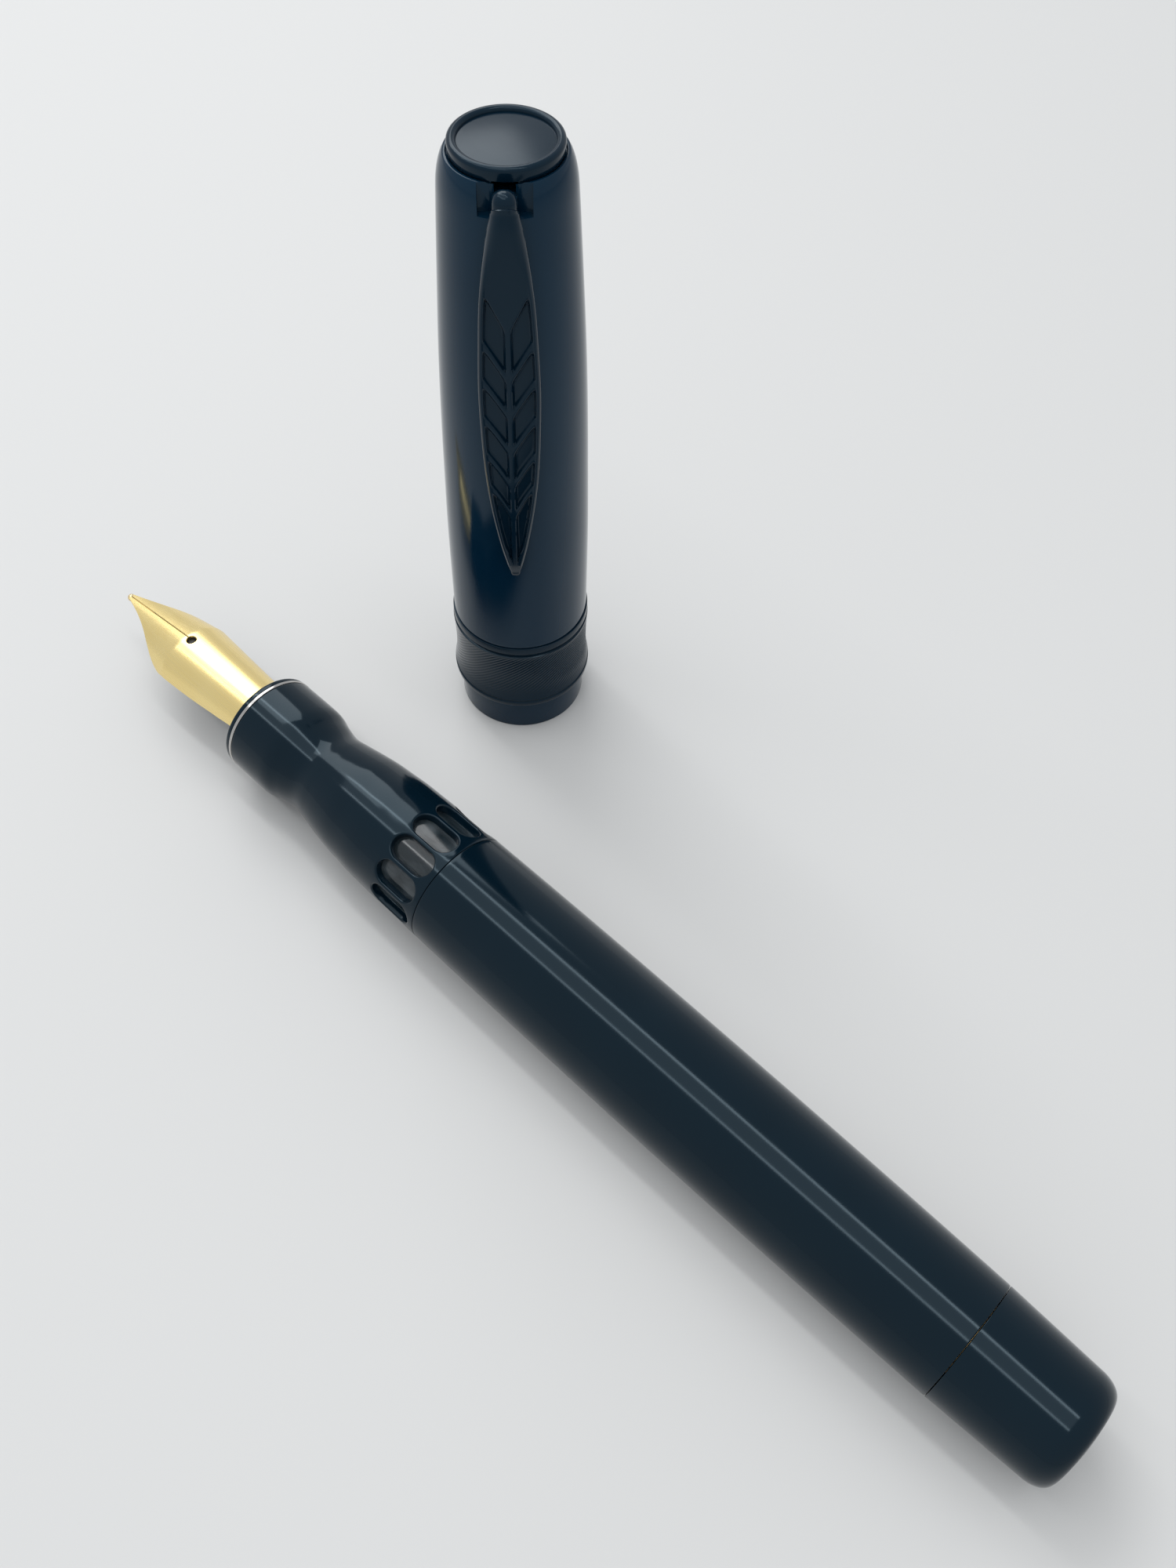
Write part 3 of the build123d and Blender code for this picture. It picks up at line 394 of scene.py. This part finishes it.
window_count = 12
window_columns = 16
window_rows = 24
window_turn = math.radians(6)
window_setback = 0.75
window_length = 5.3
half_web = 0.26
window_rear = seam - window_setback
window_front = window_rear - window_length
window_half = math.pi * seam_r / window_count - half_web
rim_fillet = 0.19
cell_front = window_front - 0.4
cell_rear = window_rear + 0.3
columns = window_count * window_columns
cell_turn = 2 * math.pi / window_count
first_column = window_turn + cell_turn / 2
collar_bore = 4.1
seat_r = bore_r - 0.6
seat_front = section_front + 16.2
seat_rear = section_front + 18.3
tube_stop = section_front + 19
section_skin = [(x, section_radius(x), 0) for x in spread(section_front + 0.25, cell_front, 70)]
front_points = rounded(
    [(cell_front, bore_r, 0), (tube_stop, bore_r, 0), (seat_rear, seat_r, 0),
     (seat_front, seat_r, 0), (seat_front, collar_bore, 0), (section_front, collar_bore, 0),
     (section_front, section_radius(section_front), 0.1)] + section_skin, closed=False)
rear_points = rounded([(cell_rear, section_radius(cell_rear), 0), (seam - 0.2, section_radius(seam - 0.2), 0),
                       (seam, seam_r - 0.01, 0.05), (seam, bore_r, 0), (cell_rear, bore_r, 0)], closed=False)
front_half = turned("section_front_part", front_points, pen_axis, "X", columns, first_column, closed=False)
rear_half = turned("section_rear_part", rear_points, pen_axis, "X", columns, first_column, closed=False)
grip_maker = bmesh.new()
for half in (front_half, rear_half):
    grip_maker.from_mesh(half.data)
    bpy.data.objects.remove(half)


def on_grip(x, angle, radius):
    """Vertex at a place of the section given along its axis, round it and from its axis."""
    side = pen_axis.y + radius * math.sin(angle) * mm
    rise = pen_axis.z + radius * math.cos(angle) * mm
    return grip_maker.verts.new((x * mm, side, rise))


for cell in range(window_count):
    middle = window_turn + cell * cell_turn
    border = [(cell_front, -0.5 + j / window_columns) for j in range(window_columns)]
    border += [(x, 0.5) for x in spread(cell_front, cell_rear, window_rows)[:-1]]
    border += [(cell_rear, 0.5 - j / window_columns) for j in range(window_columns)]
    border += [(x, -0.5) for x in spread(cell_rear, cell_front, window_rows)[:-1]]
    loops = []
    layers = [(bore_r, 1, None), (bore_r, 0, None)]
    layers += [(None, 0, math.pi / 2 * k / 5) for k in range(6)]
    layers += [(None, 0.5, math.pi / 2), (None, 1, math.pi / 2)]
    for level, share, swing in layers:
        loop = []
        for x, turn in border:
            side = turn * cell_turn * seam_r
            hub = min(max(x, window_front + window_half), window_rear - window_half)
            reach = math.hypot(x - hub, side)
            inset = 0 if swing is None else rim_fillet * (1 - math.cos(swing))
            base = window_half + inset
            at = base + (reach - base) * share
            spot_x = hub + (x - hub) * at / reach
            spot_side = side * at / reach
            if share == 1:
                spot_x, spot_side = x, side
            height = level if swing is None else section_radius(spot_x) - rim_fillet * (1 - math.sin(swing))
            loop.append(on_grip(spot_x, middle + spot_side / seam_r, height))
        loops.append(loop)
    for one, two in zip(loops, loops[1:]):
        for j in range(len(one)):
            k = (j + 1) % len(one)
            grip_maker.faces.new((one[j], one[k], two[k], two[j]))
grip = make_object("grip_section", grip_maker, 40)
settle(grip, "pen", "resin", resin, "section")


# ---- Ink window tube ----
# Smoky clear acrylic tube behind the windows, glued into the section and screwed into the barrel.
# Ink residue leaves it cloudy, so that the windows look dark grey with soft pale reflections.
tube_low, tube_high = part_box("ink_window_tube")
tube_front = tube_low.x / mm
tube_rear = tube_high.x / mm
tube_r = (tube_high.z - pen_axis.z) / mm
tube_wall = 0.38
tube_rear_bore = 4.76
step_front = 12.4
step_rear = 13.4
clear = Finish("smoky_clear_acrylic", IOR=1.49, Transmission_Weight=0.82)
residue = clear.grain(0.0022, 3, (0.5, 1, 1))
residue_stops = ((0.42, (0, 0, 0, 1)), (0.68, (1, 1, 1, 1)))
residue_patch = clear.node("ShaderNodeValToRGB", {"stops": residue_stops}, {"Fac": residue})
clear.feed(Base_Color=clear.blend(residue_patch, (0.05, 0.08, 0.1, 1), (0.27, 0.33, 0.37, 1)),
           Roughness=residue * 0.22 + 0.03)
ink_tube = turned("ink_tube", rounded(
    [(tube_front, tube_r - tube_wall, 0), (tube_front, tube_r, 0.05), (tube_rear, tube_r, 0.05),
     (tube_rear, tube_rear_bore, 0), (tube_front + step_rear, tube_rear_bore, 0),
     (tube_front + step_front, tube_r - tube_wall, 0)]), pen_axis, columns=128)
settle(ink_tube, "pen", "clear_tube", clear, "ink_window_tube")


# ---- Front rings ----
# A black ring with a rounded front edge, and behind it a thin polished silver ring.
# Both are turned, slipped round the nib's collar and glued to the front of the section.
ring_low, ring_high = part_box("section_front_ring")
trim_low, trim_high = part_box("section_trim_ring")
ring_front = ring_low.x / mm
ring_r = (ring_high.z - pen_axis.z) / mm
ring_bore = 3.75
trim_bore = 4.15
ring_edge_x = trim_low.x / mm - 0.03
front_ring = turned("nib_opening_ring", rounded(
    [(ring_front, ring_bore, 0.06), (ring_front, ring_r, 0.26), (ring_edge_x, ring_r, 0.04),
     (ring_edge_x, collar_bore, 0), (ring_high.x / mm, collar_bore, 0),
     (ring_high.x / mm, ring_bore, 0)]), pen_axis)
settle(front_ring, "pen", "resin", resin, "section_front_ring")
silver = Finish("polished_silver", Metallic=1.0)
tarnish = silver.grain(0.0015, 3)
silver.feed(Base_Color=silver.blend(tarnish, (0.55, 0.54, 0.53, 1), (0.4, 0.38, 0.36, 1)),
            Roughness=tarnish * 0.12 + 0.1)
trim_front = trim_low.x / mm
trim_rear = trim_high.x / mm - 0.05
trim_ring = turned("silver_ring", rounded(
    [(trim_front, trim_bore, 0), (trim_front, lip_r + 0.02, 0.07), (trim_rear, lip_r + 0.02, 0.07),
     (trim_rear, trim_bore, 0)]), pen_axis)
settle(trim_ring, "pen", "silver_trim", silver, "section_trim_ring")


# ---- Nib ----
# Satin gold sheet bent round the feed, with concave tines, a slit and a round breather hole.
# It is brushed along its length, and a hard pellet is welded under the tip and split by the slit.
nib_low, nib_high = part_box("nib")
nib_tip = nib_low.x / mm - 0.3
nib_heel = nib_high.x / mm
nib_sheet = 0.34
ring_place = 25.1
shoulder = 11.8
slit_half = 0.03
breather = 12.6
breather_r = 0.56
edge_round = 0.055
width_knots = [(0.2, 0.3), (1.2, 0.55), (3.4, 1.2), (5.6, 2.05), (7.8, 3.15), (9.4, 3.9),
               (10.8, 4.3), (11.8, 4.4), (13.0, 4.36),
               (16.8, 4.11), (21, 3.78), (25.1, 3.5), (38.5, 3.49)]


def nib_section(s):
    """Top, half width and depth of the arch at s millimetres behind the tip."""
    if s < shoulder:
        share = s / shoulder
        return 1.0 + 2.3 * share, 2.4 + 2.12 * share, 0.9 + 2.6 * share
    share = min(1, (s - shoulder) / (ring_place - shoulder))
    return 3.3 + 0.3 * share, 4.52 - 0.92 * share, 3.5


def nib_row(s, side, count):
    """Outer and inner points of one half of the nib at s, from its slit to its edge."""
    top, half, depth = nib_section(s)
    bend = (half * half + depth * depth) / (2 * depth)
    reach = s - breather
    opening = math.sqrt(max(0, breather_r ** 2 - reach ** 2))
    inner_edge = opening if reach > 0 else max(slit_half, opening)
    outer_edge = through_knots(width_knots, s)
    first = math.asin(min(1, inner_edge / bend))
    last = math.asin(min(0.9999, outer_edge / bend))
    ease = 0.06 / bend
    turns = [first, first + min(ease, last - first)] if inner_edge > 0 else [first, first + ease]
    turns += [first + ease + (last - first - 2 * ease) * i / count for i in range(1, count + 1)] + [last]
    points = []
    for i, turn in enumerate(turns):
        at_edge = i == len(turns) - 1 or (i == 0 and inner_edge > 0)
        radius = bend - (edge_round if at_edge else 0)
        points.append((s, side * radius * math.sin(turn), top - bend + radius * math.cos(turn)))
    under = [(s, side * (bend - nib_sheet) * math.sin(turn), top - bend + (bend - nib_sheet) * math.cos(turn))
             for turn in turns]
    return points + under[::-1]


nib_stations = spread(0.3, breather - breather_r, 46)
nib_stations += [breather - breather_r * math.cos(math.pi * i / 16) for i in range(1, 16)]
nib_stations += spread(breather + breather_r, ring_place, 40) + spread(ring_place, nib_heel - nib_tip, 8)[1:]
nib_maker = bmesh.new()
for side in (-1, 1):
    rows = []
    for s in nib_stations:
        row = [nib_maker.verts.new(((nib_tip + x) * mm, pen_axis.y + y * mm, pen_axis.z + z * mm))
               for x, y, z in nib_row(s, side, 22)]
        rows.append((s, row))
    for (s0, one), (s1, two) in zip(rows, rows[1:]):
        joined = (s0 + s1) / 2 > breather + breather_r
        for j in range(len(one)):
            if joined and j == len(one) - 1:
                continue
            k = (j + 1) % len(one)
            nib_maker.faces.new((one[j], one[k], two[k], two[j]))
    nib_maker.faces.new(rows[0][1])
    nib_maker.faces.new(rows[-1][1])
nib = make_object("gold_nib", nib_maker, 40)


def gold_finish(name, colour, tint, roughness):
    """Satin gold: fine brushing along the piece and a slow change of tone."""
    finish = Finish(name, Metallic=1.0)
    brush = finish.grain(0.00022, 3, (0.02, 1, 1))
    tone = finish.grain(0.006, 2)
    finish.feed(Base_Color=finish.blend(brush * 0.5 + tone * 0.5, colour, tint),
                Roughness=brush * 0.08 + roughness)
    return finish.bump(brush, 0.06, 0.00002)


gold = gold_finish("satin_gold", (0.9, 0.68, 0.26, 1), (0.97, 0.8, 0.4, 1), 0.23)
settle(nib, "pen", "gold", gold, "nib")
tipping_low, tipping_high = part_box("nib_tipping")
tip_centre = (tipping_low + tipping_high) / 2
tip_r = (tipping_high.y - tipping_low.y) / 2 * 0.985
tip_maker = bmesh.new()
for side in (-1, 1):
    ball = bmesh.ops.create_uvsphere(tip_maker, u_segments=48, v_segments=24, radius=tip_r)
    for vert in ball["verts"]:
        vert.co.y = side * max(side * vert.co.y, slit_half * mm)
        vert.co = vert.co + tip_centre
pellet = make_object("tipping_pellet", tip_maker, 40)
hard_gold = gold_finish("hard_tipping", (0.8, 0.62, 0.34, 1), (0.86, 0.72, 0.48, 1), 0.16)
settle(pellet, "pen", "gold", hard_gold, "nib_tipping")


# ---- Cap shell ----
# The cap's body in the same resin: straight above the band, then narrowing to a soft round shoulder.
# A slot cut through the shoulder lets the clip swing, and a narrow ledge surrounds the finial.
shell_low, shell_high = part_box("cap_shell")
cap_axis = (shell_low + shell_high) / 2
shell_bottom = shell_low.z / mm
shell_top = shell_high.z / mm
shell_r = (shell_high.y - shell_low.y) / 2 / mm
finial_low, finial_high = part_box("cap_finial")
finial_r = (finial_high.x - finial_low.x) / 2 / mm
shell_knots = [(0, shell_r), (9, shell_r), (13, shell_r - 0.03), (18, shell_r - 0.12), (24, shell_r - 0.24),
               (30, shell_r - 0.41), (35, shell_r - 0.61), (40, shell_r - 0.87), (45, shell_r - 1.14),
               (48.5, shell_r - 1.34), (50.0, shell_r - 1.46), (51.0, shell_r - 1.66), (51.6, shell_r - 1.86)]
shell_side = [(shell_bottom + h, through_knots(shell_knots, h), 0) for h in spread(0.35, 51.6, 90)]
ledge_r = finial_r + 0.34
housing_r = 4.68
housing_shelf = shell_top - 6.1
cavity_r = 5.28
cavity_step = shell_top - 30.4
thread_r = 5.87
sleeve_stop = shell_bottom + 4
shell_points = rounded(
    [(shell_bottom, shell_r - 0.4, 0), (shell_bottom, shell_r, 0.1)] + shell_side
    + [(shell_top - 0.03, ledge_r, 0.2), (shell_top - 0.03, finial_r + 0.1, 0.05),
       (shell_top - 0.18, finial_r + 0.02, 0.03), (shell_top - 0.18, housing_r, 0),
       (housing_shelf, housing_r, 0), (housing_shelf, cavity_r, 0), (cavity_step, cavity_r, 0),
       (cavity_step, thread_r, 0), (sleeve_stop, thread_r, 0), (sleeve_stop, shell_r - 0.42, 0)])
shell = turned("cap_body", shell_points, cap_axis, "Z", 256)
clip_heading = math.radians(-46)
notch_half = 2.2
notch_low = shell_top - 2.5
notch_in = 4.6
cutter_maker = bmesh.new()
bmesh.ops.create_cube(cutter_maker, size=1)
cutter_side = 5
cutter_size = Vector((cutter_side, 2 * notch_half, cutter_side)) * mm
cutter_middle = ((notch_in + cutter_side / 2) * mm, 0, (notch_low + cutter_side / 2) * mm)
cutter_place = (Matrix.Translation((cap_axis.x, cap_axis.y, 0)) @ Matrix.Rotation(clip_heading, 4, "Z")
                @ Matrix.Translation(cutter_middle))
for vert in cutter_maker.verts:
    vert.co = cutter_place @ Vector([a * b for a, b in zip(vert.co, cutter_size)])
cutter = make_object("notch_cutter", cutter_maker)
cut = shell.modifiers.new("notch", "BOOLEAN")
cut.object = cutter
cut.solver = "EXACT"
round_off = shell.modifiers.new("soft_edges", "BEVEL")
round_off.width = 0.00011
round_off.segments = 3
round_off.limit_method = "ANGLE"
round_off.angle_limit = math.radians(60)
cut_mesh = bpy.data.meshes.new_from_object(shell.evaluated_get(bpy.context.evaluated_depsgraph_get()))
shell.modifiers.clear()
shell.data = cut_mesh
shell.data.set_sharp_from_angle(angle=math.radians(32))
bpy.data.objects.remove(cutter)
# Painted light: the cap is the barrel's resin, given a lighter, bluer copy that stands in for the brighter
# light and floor reflection the upright cap catches.
painted_lighter_cap_resin = resin_finish("cap_resin_with_painted_light", (0.001, 0.013, 0.031, 1), (0.002, 0.019, 0.041, 1), 0.11, 0.27)
settle(shell, "cap", "resin", painted_lighter_cap_resin, "cap_shell")


# ---- Band ----
# Black coated metal drum, slightly waisted, engraved with fine slanting lines between plain rims.
# The lower rim is flared and doubled, and a groove under a thin raised edge closes the top.
band_low, band_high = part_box("cap_band")
band_bottom = band_low.z / mm
band_top = band_high.z / mm
band_rim_r = (band_high.x - band_low.x) / 2 / mm
drum_r = band_rim_r - 0.32
black_metal = resin_finish("black_coated_metal", (0.001, 0.008, 0.018, 1), (0.002, 0.012, 0.024, 1),
                           0.17, 0.24)
line_count = 82
line_columns = 8
drum_bottom = band_bottom + 1.15
drum_top = band_top - 1.35
drum_knots = [(0, band_rim_r - 0.1), (1.0, drum_r + 0.09), (2.6, drum_r), (5.0, drum_r + 0.03),
              (6.9, drum_r + 0.12)]
line_depth = 0.05
band_bore_r = band_rim_r - 0.9
groove_r = drum_r - 0.13
drum = [(drum_bottom + h, through_knots(drum_knots, h), 0) for h in spread(0, drum_top - drum_bottom, 70)]
band_points = rounded(
    [(band_bottom, band_bore_r, 0), (band_bottom, band_rim_r - 0.02, 0.14),
     (band_bottom + 0.55, band_rim_r, 0.08), (band_bottom + 0.66, band_rim_r - 0.15, 0.04),
     (band_bottom + 0.8, band_rim_r - 0.15, 0.04), (band_bottom + 0.92, band_rim_r - 0.04, 0.06)]
    + drum
    + [(drum_top + 0.1, groove_r, 0.04), (drum_top + 0.4, groove_r, 0.04),
       (drum_top + 0.5, drum_r + 0.09, 0.06), (band_top, drum_r + 0.07, 0.08), (band_top, band_bore_r, 0)])


def engraving(height, radius, angle, column):
    """Turns the columns of the band into slanting lines and sinks the engraved ones."""
    level = min(max(height, drum_bottom), drum_top)
    rise = level - drum_bottom
    share = rise / (drum_top - drum_bottom)
    swing = rise / (drum_r * 0.8) + 0.025 * math.sin(3 * angle + rise * 0.7) * math.sin(math.pi * share)
    if not drum_bottom < height < drum_top or radius < drum_r - 0.1:
        return angle + swing, radius
    wave = 0.5 + 0.5 * math.cos(2 * math.pi * column / line_columns)
    strength = min(1, 3.2 * share) * min(1, 12 * (1 - share))
    patchy = 0.72 + 0.28 * math.sin(2 * angle + 5 * share)
    return angle + swing, radius - line_depth * wave ** 2 * strength * patchy


band = turned("engraved_band", band_points, cap_axis, "Z", line_count * line_columns, relief=engraving,
              sharp=50)
settle(band, "cap", "black_metal", black_metal, "cap_band")


# ---- Mouth sleeve ----
# Plain lip of the same resin below the band, with the thin sleeve that screws into the shell.
# The cap stands on its flat rim.
lip_low, lip_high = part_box("mouth_sleeve")
lip_out = (lip_high.x - lip_low.x) / 2 / mm
lip_top = band_bottom - 0.06
sleeve_in = 6.46
sleeve_out = 6.70
mouth = turned("cap_mouth_lip", rounded(
    [(0.14, sleeve_in, 0.05), (0, sleeve_in + 0.1, 0), (0, lip_out - 0.02, 0.24),
     (lip_top, lip_out - 0.02, 0.12), (lip_top, sleeve_out, 0), (lip_high.z / mm, sleeve_out, 0),
     (lip_high.z / mm, sleeve_in, 0)]), cap_axis, "Z")
# The lip takes the cap's copy of the resin, painted lighter for the light the cap catches.
settle(mouth, "cap", "resin", painted_lighter_cap_resin, "mouth_sleeve")


# ---- Finial ----
# Black coated disc that closes the head: a soft raised rim round a plain shallow dish.
# It is screwed down on its stud and sits in a narrow groove inside the shell's ledge.
finial_bottom = finial_low.z / mm
finial_top = finial_high.z / mm
stud_hole_r = 0.85
rim_rise = 0.36
rim_half = 0.4
rim_steps = 12
rim_arc = []
for i in range(rim_steps + 1):
    swing = math.pi * i / rim_steps
    rim_arc.append((finial_top - rim_rise + rim_rise * math.sin(swing),
                    finial_r - rim_half + rim_half * math.cos(swing), 0))
dish = [(finial_top - rim_rise + 0.1 * (1 - (r / 3.9) ** 2), r, 0) for r in spread(3.7, 0, 24)]
finial = turned("head_disc", rounded(
    [(finial_bottom, stud_hole_r, 0), (finial_bottom, finial_r - 0.04, 0.05)] + rim_arc + dish
    + [(finial_top - 0.5, 0, 0), (finial_top - 0.5, stud_hole_r, 0)]), cap_axis, "Z")
settle(finial, "cap", "black_metal", black_metal, "cap_finial")


# ---- Clip ----
# Lance-shaped clip of black coated metal that pivots on a pin in the head. It rises out of its slot
# in a small round hump and runs down the shell. Its feather of slanting pockets is painted darker, as painted
# shade in the hollows.
clip_low, clip_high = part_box("clip")
clip_tip = clip_low.z / mm
clip_top = clip_high.z / mm
pin_height = clip_top - 1.75
leaf_top = pin_height - 1.2
leaf_length = leaf_top - clip_tip
half_knots = [(clip_tip - 0.1, 0.22), (clip_tip + 0.5, 0.46), (clip_tip + 1.9, 0.74),
              (clip_tip + 5.2, 1.38), (clip_tip + 9.7, 2.05),
              (clip_tip + 13.8, 2.46), (clip_tip + 18.7, 2.66), (clip_tip + 22.9, 2.7), (clip_tip + 28, 2.5),
              (clip_tip + 31, 2.32), (clip_tip + 34.1, 1.98), (clip_tip + 37.0, 1.5), (clip_tip + 38.6, 1.16),
              (clip_top, 0.95)]
front_knots = [(clip_tip + 0.7, 8.12), (clip_tip + 2.2, 8.5), (clip_tip + 7.5, 8.7),
               (clip_tip + 15, 8.55), (clip_tip + 22.6, 8.26), (clip_tip + 30, 7.94),
               (clip_tip + 35, 7.76), (clip_tip + 37.6, 7.6), (pin_height + 0.4, 7.3)]
back_knots = [(clip_tip, 7.45), (clip_tip + 2.2, 7.22), (clip_tip + 4.5, 7.42),
              (clip_tip + 7.5, 7.57), (clip_tip + 22.6, 7.14), (clip_tip + 30, 6.75),
              (clip_tip + 36.5, 6.4), (pin_height + 0.2, 6.1)]
pocket_tops = (0.14, 0.275, 0.375, 0.48, 0.585, 0.685, 0.88)
pocket_depth = 0.4
pocket_rib = 0.016
pocket_slant = 0.088
pocket_lean = 0.62        # share of a distance down the leaf that counts across a slanting rib
pocket_blend = 0.09
neck_half = 0.98
spine_half = 0.2
leaf_edge = 0.4
hump_centre = Vector((6.245, pin_height + 0.836))
hump_r = 0.9
clip_columns = 56


def ease(value):
    """Smooth step from 0 to 1."""
    value = min(1, max(0, value))
    return value * value * (3 - 2 * value)


def pocket_share(height, across, half):
    """How deep the feather's pockets are at a place of the leaf, from 0 to 1."""
    share = (leaf_top - height) / leaf_length
    outer = half - leaf_edge
    if outer - spine_half < 0.15:
        return 0
    inward = (outer - across) / (outer - spine_half)
    if not 0 < inward < 1:
        return 0
    slanted = share - pocket_slant * inward ** 1.15
    deepest = 0
    for i, (top, below) in enumerate(zip(pocket_tops, pocket_tops[1:])):
        low = below - (pocket_rib if i < 5 else 0)
        if not top < slanted < low:
            continue
        inside = [(slanted - top) * leaf_length * pocket_lean, (low - slanted) * leaf_length * pocket_lean,
                  outer - across, across - spine_half]
        sum_near = sum(math.exp(-value / pocket_blend) for value in inside)
        deepest = max(deepest, ease((-pocket_blend * math.log(sum_near) + 0.02) / 0.26))
    return deepest


clip_maker = bmesh.new()
clip_frame = Matrix.Translation((cap_axis.x, cap_axis.y, 0)) @ Matrix.Rotation(clip_heading, 4, "Z")


def on_clip(reach, across, height):
    """Vertex of the clip at a distance from the cap's axis, a place across the clip and a height."""
    return clip_maker.verts.new(clip_frame @ Vector((reach * mm, across * mm, height * mm)))


clip_rows = []
hump_steps = 14
for i in range(hump_steps + 1):
    swing = math.pi * (0.97 - 0.97 * i / hump_steps)
    rim = Vector((hump_centre.x + hump_r * math.cos(swing), hump_centre.y + hump_r * math.sin(swing)))
    root = Vector((5.5 + 0.75 * i / hump_steps, pin_height + 0.3 - 0.25 * i / hump_steps))
    clip_rows.append((rim, root, neck_half))
for height in spread(hump_centre.y - 0.05, clip_tip + 0.5, 330):
    rim = Vector((through_knots(front_knots, height), height))
    root = Vector((through_knots(back_knots, height), min(height, pin_height)))
    clip_rows.append((rim, root, through_knots(half_knots, height)))
nose_steps = 8
for i in range(1, nose_steps + 1):
    swing = math.pi / 2 * i / nose_steps
    height = clip_tip + 0.5 - 0.48 * math.sin(swing)
    half = 0.46 * math.cos(swing) + 0.02
    rim = Vector((7.75 + 0.33 * math.cos(swing), height))
    root = Vector((through_knots(back_knots, clip_tip + 0.5) + 0.28 * (1 - math.cos(swing)), height))
    clip_rows.append((rim, root, half))
last_row = None
for rim, root, half in clip_rows:
    row = []
    sunk = []
    humped = ease((rim.y - leaf_top + 6) / 8)
    for j in range(clip_columns + 1):
        turn = j / clip_columns * 2 - 1
        side = math.copysign(1 - (1 - abs(turn)) ** 1.15, turn)
        across = side * half
        edge = half - abs(across)
        corner_drop = 0.0
        soft = min(0.26, half * 0.6) * (1 - humped) + half * 0.9 * humped
        if edge < soft:
            corner_drop = soft - math.sqrt(max(0, soft ** 2 - (soft - edge) ** 2))
        drop = 0.16 * (across / 2.7) ** 2 + corner_drop
        sunk.append(0)
        if clip_tip + 2 < rim.y < leaf_top:
            sunk[-1] = pocket_share(rim.y, abs(across), half)
            drop += pocket_depth * sunk[-1]
            drop -= 0.08 * ease(1 - abs(edge - 0.28) / 0.2) * ease((leaf_top - rim.y) / 6)
        way = rim - root
        spot = rim - way.normalized() * min(drop, way.length * 0.7)
        row.append(on_clip(spot.x, across, spot.y))
    for side in (1, 0.5, -0.5, -1):
        row.append(on_clip(root.x, side * half * 0.96, root.y))
    if last_row is not None:
        for j in range(len(row)):
            k = (j + 1) % len(row)
            face = clip_maker.faces.new((last_row[j], last_row[k], row[k], row[j]))
            # Faces deep in the pockets take the second slot, the pockets' painted shade.
            face.material_index = 1 if j < clip_columns and sunk[j] + sunk[j + 1] > 0.9 else 0
    else:
        clip_maker.faces.new(row)
    last_row = row
clip_maker.faces.new(last_row)
tongue = [(1.35, -0.34), (2.4, -0.36), (2.9, -0.58), (5.2, -0.6), (6.35, -0.62), (6.6, 0.3), (5.9, 0.75),
          (5.3, 0.62), (1.35, 0.58)]
tongue_sides = [[on_clip(reach, across, pin_height + rise) for reach, rise in tongue]
                for across in (-neck_half, neck_half)]
clip_maker.faces.new(tongue_sides[0])
clip_maker.faces.new(tongue_sides[1])
for j in range(len(tongue)):
    k = (j + 1) % len(tongue)
    clip_maker.faces.new((tongue_sides[0][j], tongue_sides[0][k], tongue_sides[1][k], tongue_sides[1][j]))
clip = make_object("feather_clip", clip_maker, 50)
settle(clip, "clip", "black_metal", black_metal, "clip")
# Painted shade: a darker, duller copy of the black finish, so the pockets' hollows look shaded.
pocket_painted_shade = resin_finish("clip_pocket_painted_shade", (0.0004, 0.002, 0.004, 1), (0.001, 0.004, 0.007, 1),
                              0.12, 0.12)
clip.data.materials.append(pocket_painted_shade.material)


# ---- Feed and inner pieces ----
# Matte moulded plastic for the feed and liner, turned steel and brass for the plunger and fittings,
# soft black rubber for the seals. They are shown as built, with a finish each.


def inner_finish(name, colour, tint, roughness, size, stretch, depth, **constants):
    """Finish of an inner piece: a slow change of tone with grain or turning marks."""
    finish = Finish(name, **constants)
    grain = finish.grain(size, 3, stretch)
    tone = finish.grain(0.004, 2)
    finish.feed(Base_Color=finish.blend(tone * 0.6 + grain * 0.4, colour, tint),
                Roughness=grain * 0.12 + roughness)
    return finish.bump(grain, 0.2, depth)


inner_finishes = {
    "feed_plastic": inner_finish(
        "matte_feed_plastic", (0.006, 0.006, 0.007, 1), (0.014, 0.014, 0.016, 1), 0.45,
        0.0004, (0.1, 1, 1), 0.00002),
    "inner_plastic": inner_finish(
        "moulded_plastic", (0.018, 0.019, 0.021, 1), (0.032, 0.033, 0.035, 1), 0.4,
        0.0006, (1, 1, 1), 0.00002),
    "rubber_seals": inner_finish(
        "black_rubber", (0.008, 0.008, 0.008, 1), (0.016, 0.016, 0.015, 1), 0.6,
        0.0004, (1, 1, 1), 0.00002),
    "brass_fittings": inner_finish(
        "turned_brass", (0.62, 0.42, 0.16, 1), (0.72, 0.52, 0.24, 1), 0.24,
        0.0003, (1, 0.1, 0.1), 0.00001, Metallic=1.0),
    "steel": inner_finish(
        "turned_steel", (0.45, 0.45, 0.46, 1), (0.58, 0.58, 0.58, 1), 0.24,
        0.0003, (1, 0.1, 0.1), 0.00001, Metallic=1.0),
    "black_metal": black_metal,
}
inner_nodes = {
    "feed_plastic": ("feed",),
    "inner_plastic": ("packing_spacer", "cap_liner", "plunger_nose"),
    "rubber_seals": ("shutoff_seat", "collar_o_ring", "barrel_o_ring", "gland_packing", "plunger_seal"),
    "brass_fittings": ("nib_collar", "knob_insert", "rear_gland", "gland_nut"),
    "steel": ("lock_magnets", "cap_magnets", "plunger_rod", "seal_washer", "rod_collar", "clip_pin",
              "clip_spring", "finial_stud"),
    "black_metal": ("clip_housing",),
}
for slot_name, nodes in inner_nodes.items():
    for node_name in nodes:
        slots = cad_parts[node_name].data.materials
        if not slots:
            slots.append(inner_finishes[slot_name].material)
        for index in range(len(slots)):
            slots[index] = inner_finishes[slot_name].material
